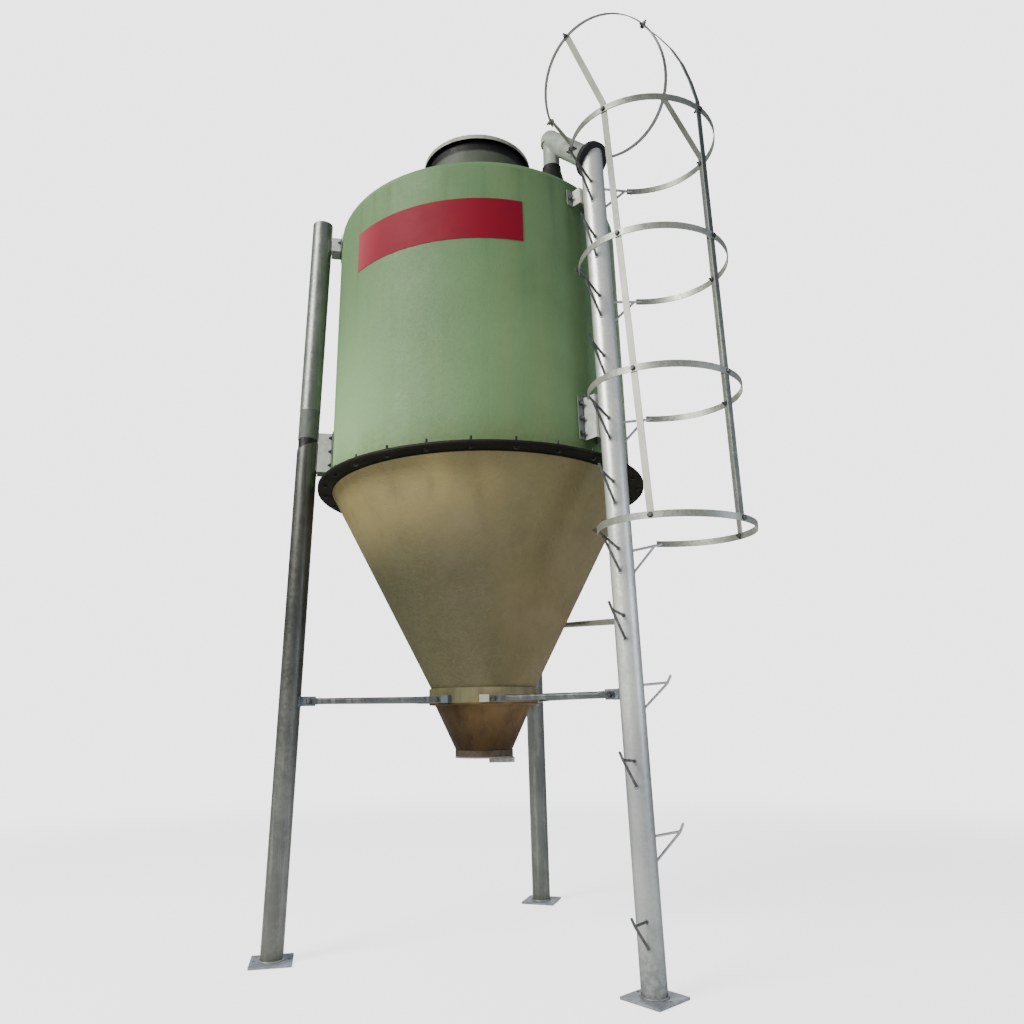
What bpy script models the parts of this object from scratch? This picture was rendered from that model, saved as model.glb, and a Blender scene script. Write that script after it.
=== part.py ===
"""Glass-fibre feed silo on three leaning pipe legs, with a caged ladder on one leg.

Metres, +Z up. The origin is on the ground at the middle of the whole silo's box.
Everything hangs on one empty on the vessel's vertical axis. A leg's own frame is
(x outward, y sideways, z up) from the middle of its foot, and leans inwards.
"""

import math

import bmesh
import bpy
from mathutils import Matrix, Vector

GAP = 0.0003

# Vessel: outer radii from its axis, and heights above the ground
BODY_FOOT_RADIUS = 0.8513
BODY_HEAD_RADIUS = 0.8145
BODY_FOOT_HEIGHT = 2.455
BODY_HEAD_HEIGHT = 3.962
SHELL_WALL = 0.006
RIM_RADIUS = 0.924
RIM_THICKNESS = 0.010
SHOULDER_RADIUS = 0.042
ROOF_EYE_RADIUS = 0.305
ROOF_EYE_HEIGHT = 4.310
ROOF_BULGE = 0.012
NECK_RADIUS = 0.300
NECK_WALL = 0.008
LID_RADIUS = 0.326
LID_SKIRT_FOOT = 4.510
LID_PLATE_UNDERSIDE = 4.535
LID_WALL = 0.006
LID_DISH = 0.018
CONE_HEAD_RADIUS = 0.846
CONE_FOOT_RADIUS = 0.290
CONE_FOOT_HEIGHT = 1.353
COLLAR_WALL = 0.010
COLLAR_FOOT_HEIGHT = 1.262
HOPPER_HEAD_RADIUS = 0.266
HOPPER_FOOT_RADIUS = 0.155
HOPPER_FOOT_HEIGHT = 1.020
OUTLET_RADIUS = 0.158
OUTLET_THICKNESS = 0.042
SLIDE_LENGTH = 0.138
SLIDE_WIDTH = 0.140
SLIDE_THICKNESS = 0.025

# Legs: 4 inch pipe, three of them, the foot circle wider than the head circle
LADDER_AZIMUTH = math.radians(-49.4)
REAR_AZIMUTH = LADDER_AZIMUTH + math.radians(120)
LEFT_AZIMUTH = LADDER_AZIMUTH + math.radians(240)
LEG_CIRCLE = 1.095
LEG_LEAN = 0.0418
LEG_RADIUS = 0.05715
LEG_WALL = 0.0036
LEG_HEAD_HEIGHT = 4.055
FOOT_PLATE_SIDE = 0.210
FOOT_PLATE_THICKNESS = 0.012
FOOT_HOLE_RADIUS = 0.009
FOOT_HOLE_REACH = 0.086

# The left leg is in two lengths on a spigot, and the lower one is cut at a slant
SPLICE_LOW_CUT = 2.672
SPLICE_HIGH_CUT = 2.718
SPLICE_SHOULDER = 2.735
SPLICE_HEAD = 2.900
SPIGOT_RADIUS = 0.0529
SPIGOT_OVERLAP = 0.120

# Hat-shaped brackets between the body and each leg
BRACKET_HALF_WIDTH = 0.046
BRACKET_FLANGE = 0.038
BRACKET_PLATE = 0.005
UPPER_BRACKET_SPAN = (3.838, 3.924)
LEFT_UPPER_BRACKET_SPAN = (3.880, 3.960)
LOWER_BRACKET_SPAN = (2.542, 2.765)

# Struts and the tie
STRUT_HEIGHT = 1.290
STRUT_RADIUS = 0.0155
STRUT_SWING = math.radians(40)
SADDLE_WALL = 0.006
SADDLE_HALF_SWEEP = math.radians(38)
SADDLE_OUTER = LEG_RADIUS + GAP + SADDLE_WALL
EAR_REACH = 0.072
EAR_THICKNESS = 0.010
EAR_HEIGHT = 0.052
LUG_DEPTH = 0.030
LUG_WIDTH = 0.050
LUG_HEIGHT = 0.038
ROD_STAND_OFF = 0.0130
ROD_SET_BACK = 0.0105
TIE_RADIUS = 0.016
TIE_LADDER_HEIGHT = 1.627
TIE_REAR_HEIGHT = 1.795

# Ladder and cage, in the ladder leg's frame. A lone step hangs a little below its level
STEP_BASE = 0.055
STEP_PITCH = 0.3247
LONE_STEPS_RIGHT = {2: 0.030, 4: 0.013}
LONE_STEPS_LEFT = {1: 0.045, 3: 0.025, 5: 0.021, 7: 0.026, 9: 0.028, 11: 0.024}
HOOP_LEVELS = (6, 8, 10, 12)
STEP_ROD_RADIUS = 0.0065
STEP_TIP_SIDE = 0.198
STEP_TIP_OUT = 0.056
STEP_ROOT_ANGLE = math.radians(62)
STEP_ROOT_DROP = 0.042
STEP_BRACE_DROP = 0.111
LONE_TIP_SIDE = 0.178
LONE_TIP_OUT = 0.070
LONE_ROOT_DROP = 0.012
LONE_TURN_UP = 0.034
LONE_TURN_OUT = 0.026
HOOP_RADIUS = 0.346
HOOP_CENTRE_OUT = 0.3165
HOOP_HALF_SWEEP = math.radians(141)
HOOP_DROOP = math.radians(2.5)
STRIP_THICKNESS = 0.005
STRIP_WIDTH = 0.030
BAR_ANGLES_NEAR = (math.radians(-71), math.radians(-82))
BAR_ANGLES_OUTER = (math.radians(-2.5), math.radians(-2.5))
BAR_ANGLES_FAR = (math.radians(67.5), math.radians(67.5))
TOP_HOOP_RADIUS = 0.330
TOP_HOOP_OUT = 0.1329
TOP_HOOP_HEIGHT = 4.416
TOP_HOOP_TILT = math.radians(37.6)
TOP_HOOP_ROLL = math.radians(-14)
TOP_HOOP_ENDS = (math.radians(-151), math.radians(138))
TOP_NODE_NEAR = math.radians(-76)
TOP_NODE_FAR = math.radians(67)
END_BAR_ANGLE = math.radians(-133)
END_BAR_TOP_ANGLE = math.radians(-147)
BAR_CLEARANCE = 0.0016
BAR_BOW = 0.045

# Pipe from the ladder leg's head over to the roof, wider down to its elbow's socket
PIPE_RADIUS = 0.056
PIPE_WALL = 0.004
PIPE_SWELL = 0.0008
PIPE_RISE = math.radians(44.7)
PIPE_SOCKET_FOOT = 4.335
RISER_CIRCLE = 0.635
RISER_RADIUS = 0.045
RISER_FOOT_HEIGHT = 4.190
STUB_RADIUS = 0.052
STUB_FLARE_RADIUS = 0.080
STUB_FLARE_HEIGHT = 4.165
HEAD_FLANGE_RADIUS = 0.091
HEAD_FLANGE_THICKNESS = 0.026
HEAD_FLANGE_HEIGHT = 4.073


def clear_scene():
    for item in list(bpy.data.objects):
        bpy.data.objects.remove(item, do_unlink=True)


def collection(name):
    group = bpy.data.collections.new(name)
    bpy.context.scene.collection.children.link(group)
    return group


def finish(name, colour, roughness, metallic):
    material = bpy.data.materials.new(name)
    material.use_nodes = True
    shader = material.node_tree.nodes["Principled BSDF"]
    shader.inputs["Base Color"].default_value = (*colour, 1)
    shader.inputs["Roughness"].default_value = roughness
    shader.inputs["Metallic"].default_value = metallic
    return material


def body_radius(height):
    """Outer radius of the body's wall, which narrows upwards."""
    share = (height - BODY_FOOT_HEIGHT) / (BODY_HEAD_HEIGHT - BODY_FOOT_HEIGHT)
    return BODY_FOOT_RADIUS + share * (BODY_HEAD_RADIUS - BODY_FOOT_RADIUS)


def leg_frame(azimuth):
    """From a leg's own frame to the silo's: it leans by shear, so that level cuts stay level."""
    lean = Matrix.Identity(4)
    lean[0][2] = -LEG_LEAN
    lean[0][3] = LEG_CIRCLE
    return Matrix.Rotation(azimuth, 4, "Z") @ lean


def step_height(level):
    return STEP_BASE + STEP_PITCH * level


def plate_corner_reach(azimuth):
    """How far a foot plate reaches along X and along Y from the silo's axis."""
    half = FOOT_PLATE_SIDE / 2 * (abs(math.cos(azimuth)) + abs(math.sin(azimuth)))
    x = LEG_CIRCLE * math.cos(azimuth)
    y = LEG_CIRCLE * math.sin(azimuth)
    return x + math.copysign(half, x), y + math.copysign(half, y)


def silo_axis():
    """Where the vessel's axis stands, so that the origin is in the middle of the whole box."""
    lowest = step_height(HOOP_LEVELS[0])
    centre = LEG_CIRCLE - LEG_LEAN * lowest + HOOP_CENTRE_OUT
    outer = HOOP_RADIUS + STRIP_THICKNESS / 2
    right = centre * math.cos(LADDER_AZIMUTH) + outer
    front = centre * math.sin(LADDER_AZIMUTH) - outer
    left, _ = plate_corner_reach(LEFT_AZIMUTH)
    _, back = plate_corner_reach(REAR_AZIMUTH)
    return Vector((-(left + right) / 2, -(front + back) / 2, 0))


def place(name, mesh, material, frame=None):
    """One node of the silo, its mesh in the silo's own frame."""
    if frame is not None:
        mesh.transform(frame)
    mesh.materials.clear()
    mesh.materials.append(material)
    mesh.shade_smooth()
    mesh.set_sharp_from_angle(angle=math.radians(35))
    mesh.name = name
    item = bpy.data.objects.new(name, mesh)
    item.parent = silo
    parts.objects.link(item)
    return item


def evaluated_mesh(item):
    """The finished mesh of a curve or modified object, its loose caps welded; the object is removed."""
    bpy.context.view_layer.update()
    graph = bpy.context.evaluated_depsgraph_get()
    mesh = bpy.data.meshes.new_from_object(item.evaluated_get(graph))
    mesh.transform(item.matrix_world)
    bpy.data.objects.remove(item, do_unlink=True)
    shape = bmesh.new()
    shape.from_mesh(mesh)
    bmesh.ops.remove_doubles(shape, verts=shape.verts, dist=0.00001)
    bmesh.ops.recalc_face_normals(shape, faces=shape.faces)
    shape.to_mesh(mesh)
    shape.free()
    return mesh


def working(name, data):
    item = bpy.data.objects.new(name, data)
    cutters.objects.link(item)
    item.hide_render = True
    item.display_type = "WIRE"
    return item


def turned_mesh(outline, segments, closed=True):
    """A profile of (radius, height), down its outer side first, turned about Z."""
    mesh = bpy.data.meshes.new("profile")
    count = len(outline)
    edges = [(i, i + 1) for i in range(count - 1)]
    if closed:
        edges.append((count - 1, 0))
    mesh.from_pydata([(radius, 0, height) for radius, height in outline], edges, [])
    item = working("profile", mesh)
    screw = item.modifiers.new("turn", "SCREW")
    screw.axis = "Z"
    screw.steps = segments
    screw.render_steps = segments
    screw.use_merge_vertices = True
    screw.merge_threshold = 0.0001
    return evaluated_mesh(item)


def tube_mesh(points, radius, sides=12):
    """A round rod along points, as a curve with filled caps."""
    curve = bpy.data.curves.new("path", "CURVE")
    curve.dimensions = "3D"
    curve.bevel_depth = radius
    curve.bevel_resolution = (sides - 4) // 2
    curve.use_fill_caps = True
    spline = curve.splines.new("POLY")
    spline.points.add(len(points) - 1)
    for point, place_at in zip(spline.points, points):
        point.co = (*place_at, 1)
    return evaluated_mesh(working("path", curve))


def round_solid(profile, out):
    """A solid of revolution on an upright axis that stands out along X, from its outer profile."""
    whole = [(0, profile[0][1]), *profile, (0, profile[-1][1])]
    mesh = turned_mesh(whole, 24, closed=False)
    mesh.transform(Matrix.Translation((out, 0, 0)))
    return mesh


def outline_mesh(outlines, low, high):
    """Flat outlines, the later ones holes, as a plate from low to high."""
    curve = bpy.data.curves.new("outline", "CURVE")
    curve.dimensions = "2D"
    curve.fill_mode = "BOTH"
    curve.extrude = (high - low) / 2
    for outline in outlines:
        spline = curve.splines.new("POLY")
        spline.points.add(len(outline) - 1)
        for point, (x, y) in zip(spline.points, outline):
            point.co = (x, y, 0, 1)
        spline.use_cyclic_u = True
    mesh = evaluated_mesh(working("outline", curve))
    mesh.transform(Matrix.Translation((0, 0, (low + high) / 2)))
    return mesh


def box_mesh(size, centre, turn=None):
    shape = bmesh.new()
    bmesh.ops.create_cube(shape, size=1)
    bmesh.ops.scale(shape, verts=shape.verts, vec=size)
    if turn is not None:
        bmesh.ops.rotate(shape, verts=shape.verts, matrix=turn)
    bmesh.ops.translate(shape, verts=shape.verts, vec=centre)
    mesh = bpy.data.meshes.new("block")
    shape.to_mesh(mesh)
    shape.free()
    return mesh


def combined(base, others, operation):
    """A mesh joined with, or cut by, other meshes."""
    item = working("base", base)
    for number, other in enumerate(others):
        cutter = working("cutter", other)
        step = item.modifiers.new(f"step_{number}", "BOOLEAN")
        step.operation = operation
        step.object = cutter
    mesh = evaluated_mesh(item)
    for cutter in [each for each in cutters.objects if each.name.startswith("cutter")]:
        bpy.data.objects.remove(cutter, do_unlink=True)
    return mesh


def arc(radius, start, end, count, centre=(0, 0)):
    angles = [start + (end - start) * i / count for i in range(count + 1)]
    return [(centre[0] + radius * math.cos(a), centre[1] + radius * math.sin(a)) for a in angles]


def body_and_roof():
    inner_head = BODY_HEAD_RADIUS - SHELL_WALL
    inner_foot = BODY_FOOT_RADIUS - SHELL_WALL
    rim_top = BODY_FOOT_HEIGHT + GAP + RIM_THICKNESS
    wall = [
        (BODY_HEAD_RADIUS, BODY_HEAD_HEIGHT),
        (BODY_FOOT_RADIUS, rim_top),
        (RIM_RADIUS, rim_top),
        (RIM_RADIUS, BODY_FOOT_HEIGHT + GAP),
        (inner_foot, BODY_FOOT_HEIGHT + GAP),
        (inner_head, BODY_HEAD_HEIGHT),
    ]
    place("body_cylinder", turned_mesh(wall, 72), green)

    def roof_height(radius):
        """The roof's top between its shoulder and its eye, a cone with a slight bulge."""
        share = (outer_start - radius) / (outer_start - ROOF_EYE_RADIUS)
        rise = ROOF_EYE_HEIGHT - slope_start
        return slope_start + rise * share + ROOF_BULGE * math.sin(math.pi * share)

    base = BODY_HEAD_HEIGHT + GAP
    turn = math.radians(52)
    centre = (BODY_HEAD_RADIUS - SHOULDER_RADIUS, base)
    shoulder = arc(SHOULDER_RADIUS, 0, turn, 5, centre)
    outer_start, slope_start = shoulder[-1]
    radii = [outer_start + (ROOF_EYE_RADIUS - outer_start) * i / 7 for i in range(1, 8)]
    outside = shoulder + [(radius, roof_height(radius)) for radius in radii]
    inside = [(radius - SHELL_WALL * 0.6, height - SHELL_WALL) for radius, height in outside[2:-1]]
    inside = [(BODY_HEAD_RADIUS - SHELL_WALL, base)] + inside
    inside.append((ROOF_EYE_RADIUS, ROOF_EYE_HEIGHT - SHELL_WALL))
    shell = turned_mesh(outside[::-1] + inside, 72)
    beneath = base - 0.1
    room = [(0, inside[-1][1]), *inside[::-1], (inside[0][0], beneath), (0, beneath)]
    room_mesh = turned_mesh(room, 72, closed=False)
    room_mesh.transform(Matrix.Translation((0, 0, SHELL_WALL / 3)))
    stub_foot = roof_height(RISER_CIRCLE + STUB_FLARE_RADIUS) - SHELL_WALL / 2
    profile = [
        (STUB_RADIUS, RISER_FOOT_HEIGHT),
        (STUB_RADIUS, STUB_FLARE_HEIGHT),
        (STUB_FLARE_RADIUS, stub_foot),
    ]
    stub = round_solid(profile, RISER_CIRCLE)
    bore = RISER_RADIUS - PIPE_WALL
    bore_mesh = round_solid([(bore, RISER_FOOT_HEIGHT + 0.01), (bore, beneath)], RISER_CIRCLE)
    roof = combined(shell, [combined(stub, [room_mesh], "DIFFERENCE")], "UNION")
    roof = combined(roof, [bore_mesh], "DIFFERENCE")
    place("roof", roof, green, Matrix.Rotation(LADDER_AZIMUTH, 4, "Z"))

    neck_base = ROOF_EYE_HEIGHT - 0.020
    neck_top = LID_PLATE_UNDERSIDE - GAP
    neck_inner = NECK_RADIUS - NECK_WALL
    neck = [
        (NECK_RADIUS, neck_top),
        (NECK_RADIUS, ROOF_EYE_HEIGHT + 0.030),
        (ROOF_EYE_RADIUS + 0.030, ROOF_EYE_HEIGHT + 0.022),
        (ROOF_EYE_RADIUS + 0.030, ROOF_EYE_HEIGHT + GAP),
        (NECK_RADIUS, ROOF_EYE_HEIGHT + GAP),
        (NECK_RADIUS, neck_base),
        (neck_inner, neck_base),
        (neck_inner, neck_top),
    ]
    place("lid_neck", turned_mesh(neck, 48), neck_grey)

    under = LID_PLATE_UNDERSIDE
    lid_inner = LID_RADIUS - LID_WALL
    lid = [
        (0, under + LID_WALL + LID_DISH),
        (LID_RADIUS * 0.6, under + LID_WALL + LID_DISH * 0.6),
        (LID_RADIUS - 0.008, under + LID_WALL),
        (LID_RADIUS, under - 0.002),
        (LID_RADIUS, LID_SKIRT_FOOT),
        (lid_inner, LID_SKIRT_FOOT),
        (lid_inner, under),
        (NECK_RADIUS - NECK_WALL - 0.010, under),
        (LID_RADIUS * 0.6, under + LID_DISH * 0.6),
        (0, under + LID_DISH),
    ]
    place("lid", turned_mesh(lid, 48, closed=False), lid_grey)


def cone_and_outlet():
    rim_top = BODY_FOOT_HEIGHT
    rim_foot = rim_top - RIM_THICKNESS
    collar_inner = CONE_FOOT_RADIUS + GAP
    neck_foot = COLLAR_FOOT_HEIGHT + 0.008
    cone = [
        (RIM_RADIUS, rim_top),
        (RIM_RADIUS, rim_foot),
        (CONE_HEAD_RADIUS, rim_foot),
        (CONE_FOOT_RADIUS, CONE_FOOT_HEIGHT),
        (CONE_FOOT_RADIUS, neck_foot),
        (CONE_FOOT_RADIUS - SHELL_WALL, neck_foot),
        (CONE_FOOT_RADIUS - SHELL_WALL, CONE_FOOT_HEIGHT + 0.004),
        (CONE_HEAD_RADIUS - SHELL_WALL * 1.1, rim_foot + 0.004),
        (CONE_HEAD_RADIUS - SHELL_WALL * 1.1, rim_top),
    ]
    place("upper_cone", turned_mesh(cone, 72), olive)

    collar_outer = collar_face()
    collar = [
        (collar_outer, CONE_FOOT_HEIGHT - 0.004),
        (collar_outer, neck_foot),
        (collar_inner, neck_foot),
        (collar_inner, CONE_FOOT_HEIGHT - 0.004),
    ]
    lugs = []
    for azimuth in LEG_AZIMUTHS.values():
        for swing in (-STRUT_SWING, STRUT_SWING):
            middle = collar_face() + LUG_DEPTH / 2 - 0.005
            lug = box_mesh((LUG_DEPTH, LUG_WIDTH, LUG_HEIGHT), (middle, 0, STRUT_HEIGHT))
            lug.transform(Matrix.Rotation(azimuth + swing, 4, "Z"))
            lugs.append(lug)
    place("cone_collar", combined(turned_mesh(collar, 72), lugs, "UNION"), collar_tan)

    hopper_head = neck_foot - GAP
    hopper = [
        (collar_outer, hopper_head),
        (collar_outer, COLLAR_FOOT_HEIGHT),
        (HOPPER_HEAD_RADIUS, COLLAR_FOOT_HEIGHT - 0.004),
        (HOPPER_FOOT_RADIUS, HOPPER_FOOT_HEIGHT),
        (HOPPER_FOOT_RADIUS - SHELL_WALL, HOPPER_FOOT_HEIGHT),
        (HOPPER_HEAD_RADIUS - SHELL_WALL, COLLAR_FOOT_HEIGHT - 0.004),
        (CONE_FOOT_RADIUS - SHELL_WALL, hopper_head),
    ]
    place("lower_cone", turned_mesh(hopper, 72), brown)

    outlet_top = HOPPER_FOOT_HEIGHT - GAP
    outlet_foot = outlet_top - OUTLET_THICKNESS
    outlet = [
        (OUTLET_RADIUS, outlet_top),
        (OUTLET_RADIUS, outlet_foot),
        (HOPPER_FOOT_RADIUS - SHELL_WALL, outlet_foot),
        (HOPPER_FOOT_RADIUS - SHELL_WALL, outlet_top),
    ]
    place("outlet_ring", turned_mesh(outlet, 72), outlet_grey)
    slide_top = outlet_foot - GAP
    slide = box_mesh(
        (SLIDE_LENGTH, SLIDE_WIDTH, SLIDE_THICKNESS),
        (OUTLET_RADIUS - SLIDE_LENGTH / 2 + 0.006, 0, slide_top - SLIDE_THICKNESS / 2),
    )
    place("outlet_slide", slide, outlet_grey)


def leg_pipe(low, high):
    inner = LEG_RADIUS - LEG_WALL
    outline = [(LEG_RADIUS, high), (LEG_RADIUS, low), (inner, low), (inner, high)]
    return turned_mesh(outline, 28)


def legs():
    seat = FOOT_PLATE_THICKNESS + GAP
    ladder = leg_pipe(seat, HEAD_FLANGE_HEIGHT + 0.15)
    ladder.transform(leg_frame(0))
    half = 0.3
    low = HEAD_FLANGE_THICKNESS / 2 + GAP
    mitre = box_mesh((2 * half, 2 * half, 2 * half), (0, 0, half - low))
    mitre.transform(head_frame())
    turn = Matrix.Rotation(LADDER_AZIMUTH, 4, "Z")
    place("ladder_leg", combined(ladder, [mitre], "DIFFERENCE"), galvanised, turn)
    place("rear_leg", leg_pipe(seat, LEG_HEAD_HEIGHT), galvanised, leg_frame(REAR_AZIMUTH))

    frame = leg_frame(LEFT_AZIMUTH)
    rise = SPLICE_HIGH_CUT - SPLICE_LOW_CUT
    slant = math.atan2(rise, 2 * LEG_RADIUS)
    middle = (SPLICE_LOW_CUT + SPLICE_HIGH_CUT) / 2
    half = 0.2
    offset = Vector((math.sin(slant), 0, math.cos(slant))) * half
    above = box_mesh(
        (2 * half, 2 * half, 2 * half),
        Vector((0, 0, middle)) + offset,
        Matrix.Rotation(slant, 3, "Y"),
    )
    lower = combined(leg_pipe(seat, SPLICE_HEAD - 0.05), [above], "DIFFERENCE")
    place("left_leg_lower", lower, galvanised, frame)
    place("left_leg_upper", leg_pipe(SPLICE_HEAD + GAP, LEG_HEAD_HEIGHT), galvanised, frame)
    sleeve = LEG_RADIUS - 0.0008
    bore = SPIGOT_RADIUS - LEG_WALL
    spigot = [
        (SPIGOT_RADIUS, SPLICE_HEAD + SPIGOT_OVERLAP),
        (SPIGOT_RADIUS, SPLICE_HEAD),
        (sleeve, SPLICE_HEAD),
        (sleeve, SPLICE_SHOULDER),
        (SPIGOT_RADIUS, SPLICE_SHOULDER),
        (SPIGOT_RADIUS, SPLICE_LOW_CUT - SPIGOT_OVERLAP),
        (bore, SPLICE_LOW_CUT - SPIGOT_OVERLAP),
        (bore, SPLICE_HEAD + SPIGOT_OVERLAP),
    ]
    place("left_leg_spigot", turned_mesh(spigot, 28), sleeve_grey, frame)


def foot_plates():
    half = FOOT_PLATE_SIDE / 2
    square = [(-half, -half), (half, -half), (half, half), (-half, half)]
    holes = [
        arc(FOOT_HOLE_RADIUS, 0, math.tau * 11 / 12, 11, (reach, 0))
        for reach in (-FOOT_HOLE_REACH, FOOT_HOLE_REACH)
    ]
    for name, azimuth in LEG_AZIMUTHS.items():
        plate = outline_mesh([square, *holes], 0, FOOT_PLATE_THICKNESS)
        frame = Matrix.Rotation(azimuth, 4, "Z") @ Matrix.Translation((LEG_CIRCLE, 0, 0))
        place(f"{name}_foot_plate", plate, galvanised, frame)


def hat_outline(body_side, leg_side):
    """A bracket's section: flanges on the body at body_side, a bridge against the leg."""
    inner = BRACKET_HALF_WIDTH - BRACKET_PLATE
    outer = BRACKET_HALF_WIDTH
    flange_end = BRACKET_HALF_WIDTH + BRACKET_FLANGE
    lift = body_side + BRACKET_PLATE
    bridge = leg_side - BRACKET_PLATE
    half = [
        (body_side, inner),
        (body_side, flange_end),
        (lift, flange_end),
        (lift, outer),
        (leg_side, outer),
    ]
    inside = [(bridge, -inner), (bridge, inner)]
    mirrored = [(x, -y) for x, y in reversed(half)]
    return half + mirrored + inside


def bracket(name, azimuth, span):
    """A hat section between two heights, each end's depth taken from the leaning leg and wall."""
    low, high = span
    sagitta = BRACKET_HALF_WIDTH**2 / (2 * BODY_HEAD_RADIUS)
    ends = []
    for height in span:
        body_side = body_radius(height) + GAP - sagitta * 0.9
        leg_side = LEG_CIRCLE - LEG_LEAN * height - LEG_RADIUS - GAP
        ends.append(hat_outline(body_side, leg_side))
    mesh = outline_mesh([ends[0]], low, high)
    shift = {point: other for point, other in zip(ends[0], ends[1])}
    for vertex in mesh.vertices:
        if vertex.co.z < (low + high) / 2:
            continue
        nearest = min(shift, key=lambda p: (p[0] - vertex.co.x) ** 2 + (p[1] - vertex.co.y) ** 2)
        vertex.co.x = shift[nearest][0]
    place(name, mesh, bracket_grey, Matrix.Rotation(azimuth, 4, "Z"))


def brackets():
    for name, azimuth in LEG_AZIMUTHS.items():
        upper = LEFT_UPPER_BRACKET_SPAN if name == "left_leg" else UPPER_BRACKET_SPAN
        bracket(f"{name}_upper_bracket", azimuth, upper)
        bracket(f"{name}_lower_bracket", azimuth, LOWER_BRACKET_SPAN)


def leg_point(azimuth, height, out=0.0, side=0.0):
    return leg_frame(azimuth) @ Vector((out, side, height))


def collar_face():
    return CONE_FOOT_RADIUS + GAP + COLLAR_WALL


def strut(name, azimuth, swing):
    """A level rod from an ear on a leg to the side of its lug on the cone's collar."""
    turn = azimuth + swing
    normal = Vector((math.cos(turn), math.sin(turn), 0))
    tangent = Vector((-normal.y, normal.x, 0)) * math.copysign(1, -swing)
    end = normal * (collar_face() + ROD_STAND_OFF) + tangent * (LUG_WIDTH / 2 + ROD_SET_BACK)
    end.z = STRUT_HEIGHT
    centre = leg_point(azimuth, STRUT_HEIGHT)
    along = (end - centre).normalized()
    start = centre + along * (SADDLE_OUTER + EAR_REACH + 0.0015)
    place(name, tube_mesh([start, end], STRUT_RADIUS, 12), galvanised)
    return math.atan2(along.y, along.x) - azimuth


def strut_ears(name, azimuth, ear_turns):
    """A saddle on the inner side of a leg, with an ear towards each of its struts."""
    low = math.pi - SADDLE_HALF_SWEEP
    high = math.pi + SADDLE_HALF_SWEEP
    outline = arc(SADDLE_OUTER, low, high, 8) + arc(LEG_RADIUS + GAP, high, low, 8)
    foot = STRUT_HEIGHT - EAR_HEIGHT / 2
    mesh = outline_mesh([outline], foot, foot + EAR_HEIGHT)
    for turn in ear_turns:
        length = EAR_REACH + 0.003
        middle = SADDLE_OUTER + EAR_REACH - length / 2
        ear = box_mesh((length, EAR_THICKNESS, EAR_HEIGHT - 0.002), (middle, 0, STRUT_HEIGHT))
        ear.transform(Matrix.Rotation(turn, 4, "Z"))
        mesh = combined(mesh, [ear], "UNION")
    place(name, mesh, galvanised, leg_frame(azimuth))


def struts():
    for leg, azimuth in LEG_AZIMUTHS.items():
        base = leg.replace("_leg", "")
        turns = []
        for side, swing in (("a", -STRUT_SWING), ("b", STRUT_SWING)):
            turns.append(strut(f"{base}_strut_{side}", azimuth, swing))
        strut_ears(f"{base}_strut_ears", azimuth, turns)


def tie():
    low = leg_point(LADDER_AZIMUTH, TIE_LADDER_HEIGHT)
    high = leg_point(REAR_AZIMUTH, TIE_REAR_HEIGHT)
    along = (high - low).normalized()
    reach = LEG_RADIUS + TIE_RADIUS * 0.15
    start = low + along * reach
    end = high - along * reach
    place("side_tie", tube_mesh([start, end], TIE_RADIUS, 12), galvanised)


def step_mesh(side, hoop_level):
    """An arm and a brace from the leg, meeting in a turned-up tip or at the end of a hoop."""
    angle = STEP_ROOT_ANGLE * side
    seat = LEG_RADIUS - STEP_ROD_RADIUS
    drop = STEP_ROOT_DROP if hoop_level else LONE_ROOT_DROP
    root = Vector((seat * math.cos(angle), seat * math.sin(angle), -drop))
    foot = root - Vector((0, 0, STEP_BRACE_DROP))
    gap = LEG_RADIUS + GAP
    cuts = [turned_mesh([(0, 0.1), (gap, 0.1), (gap, -0.3), (0, -0.3)], 28, closed=False)]
    if hoop_level:
        tip = Vector((STEP_TIP_OUT, STEP_TIP_SIDE * side, 0))
        ahead = (tip - root).normalized() * 0.040
        arm = tube_mesh([root, tip + ahead], STEP_ROD_RADIUS, 8)
        brace = tube_mesh([foot, tip - ahead * 0.3 + Vector((0, 0, -0.004))], STEP_ROD_RADIUS, 8)
        inner = HOOP_RADIUS - STRIP_THICKNESS / 2 - GAP * 3
        past = [(0.5, 0.1), (0.5, -0.1), (inner, -0.1), (inner, 0.1)]
        outside = turned_mesh(past, 96)
        outside.transform(Matrix.Translation((HOOP_CENTRE_OUT, 0, 0)))
        cuts.append(outside)
    else:
        tip = Vector((LONE_TIP_OUT, LONE_TIP_SIDE * side, 0))
        arm = tube_mesh([root, tip], STEP_ROD_RADIUS, 8)
        crest = tip + Vector((0.004, LONE_TURN_OUT * side, LONE_TURN_UP))
        brace = tube_mesh([foot, tip + Vector((0, 0, -0.004)), crest], STEP_ROD_RADIUS, 8)
    mesh = combined(combined(arm, [brace], "UNION"), cuts, "DIFFERENCE")
    mesh.transform(leg_frame(LADDER_AZIMUTH))
    return mesh


def ladder_steps():
    """Like steps share one mesh, each moved up along the leaning leg."""
    frame = leg_frame(LADDER_AZIMUTH)
    sides = (("left", -1, LONE_STEPS_LEFT), ("right", 1, LONE_STEPS_RIGHT))
    for side, sign, lone in sides:
        for drops, hoop_level in ((lone, False), (dict.fromkeys(HOOP_LEVELS, 0), True)):
            mesh = step_mesh(sign, hoop_level)
            for level, drop in drops.items():
                step = place(f"step_{level:02d}_{side}", mesh, galvanised)
                step.location = frame.to_3x3() @ Vector((0, 0, step_height(level) - drop))


def hoop_mesh(radius, start, end):
    outer = radius + STRIP_THICKNESS / 2
    inner = radius - STRIP_THICKNESS / 2
    outline = arc(outer, start, end, 48) + arc(inner, end, start, 48)
    return outline_mesh([outline], -STRIP_WIDTH / 2, STRIP_WIDTH / 2)


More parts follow.
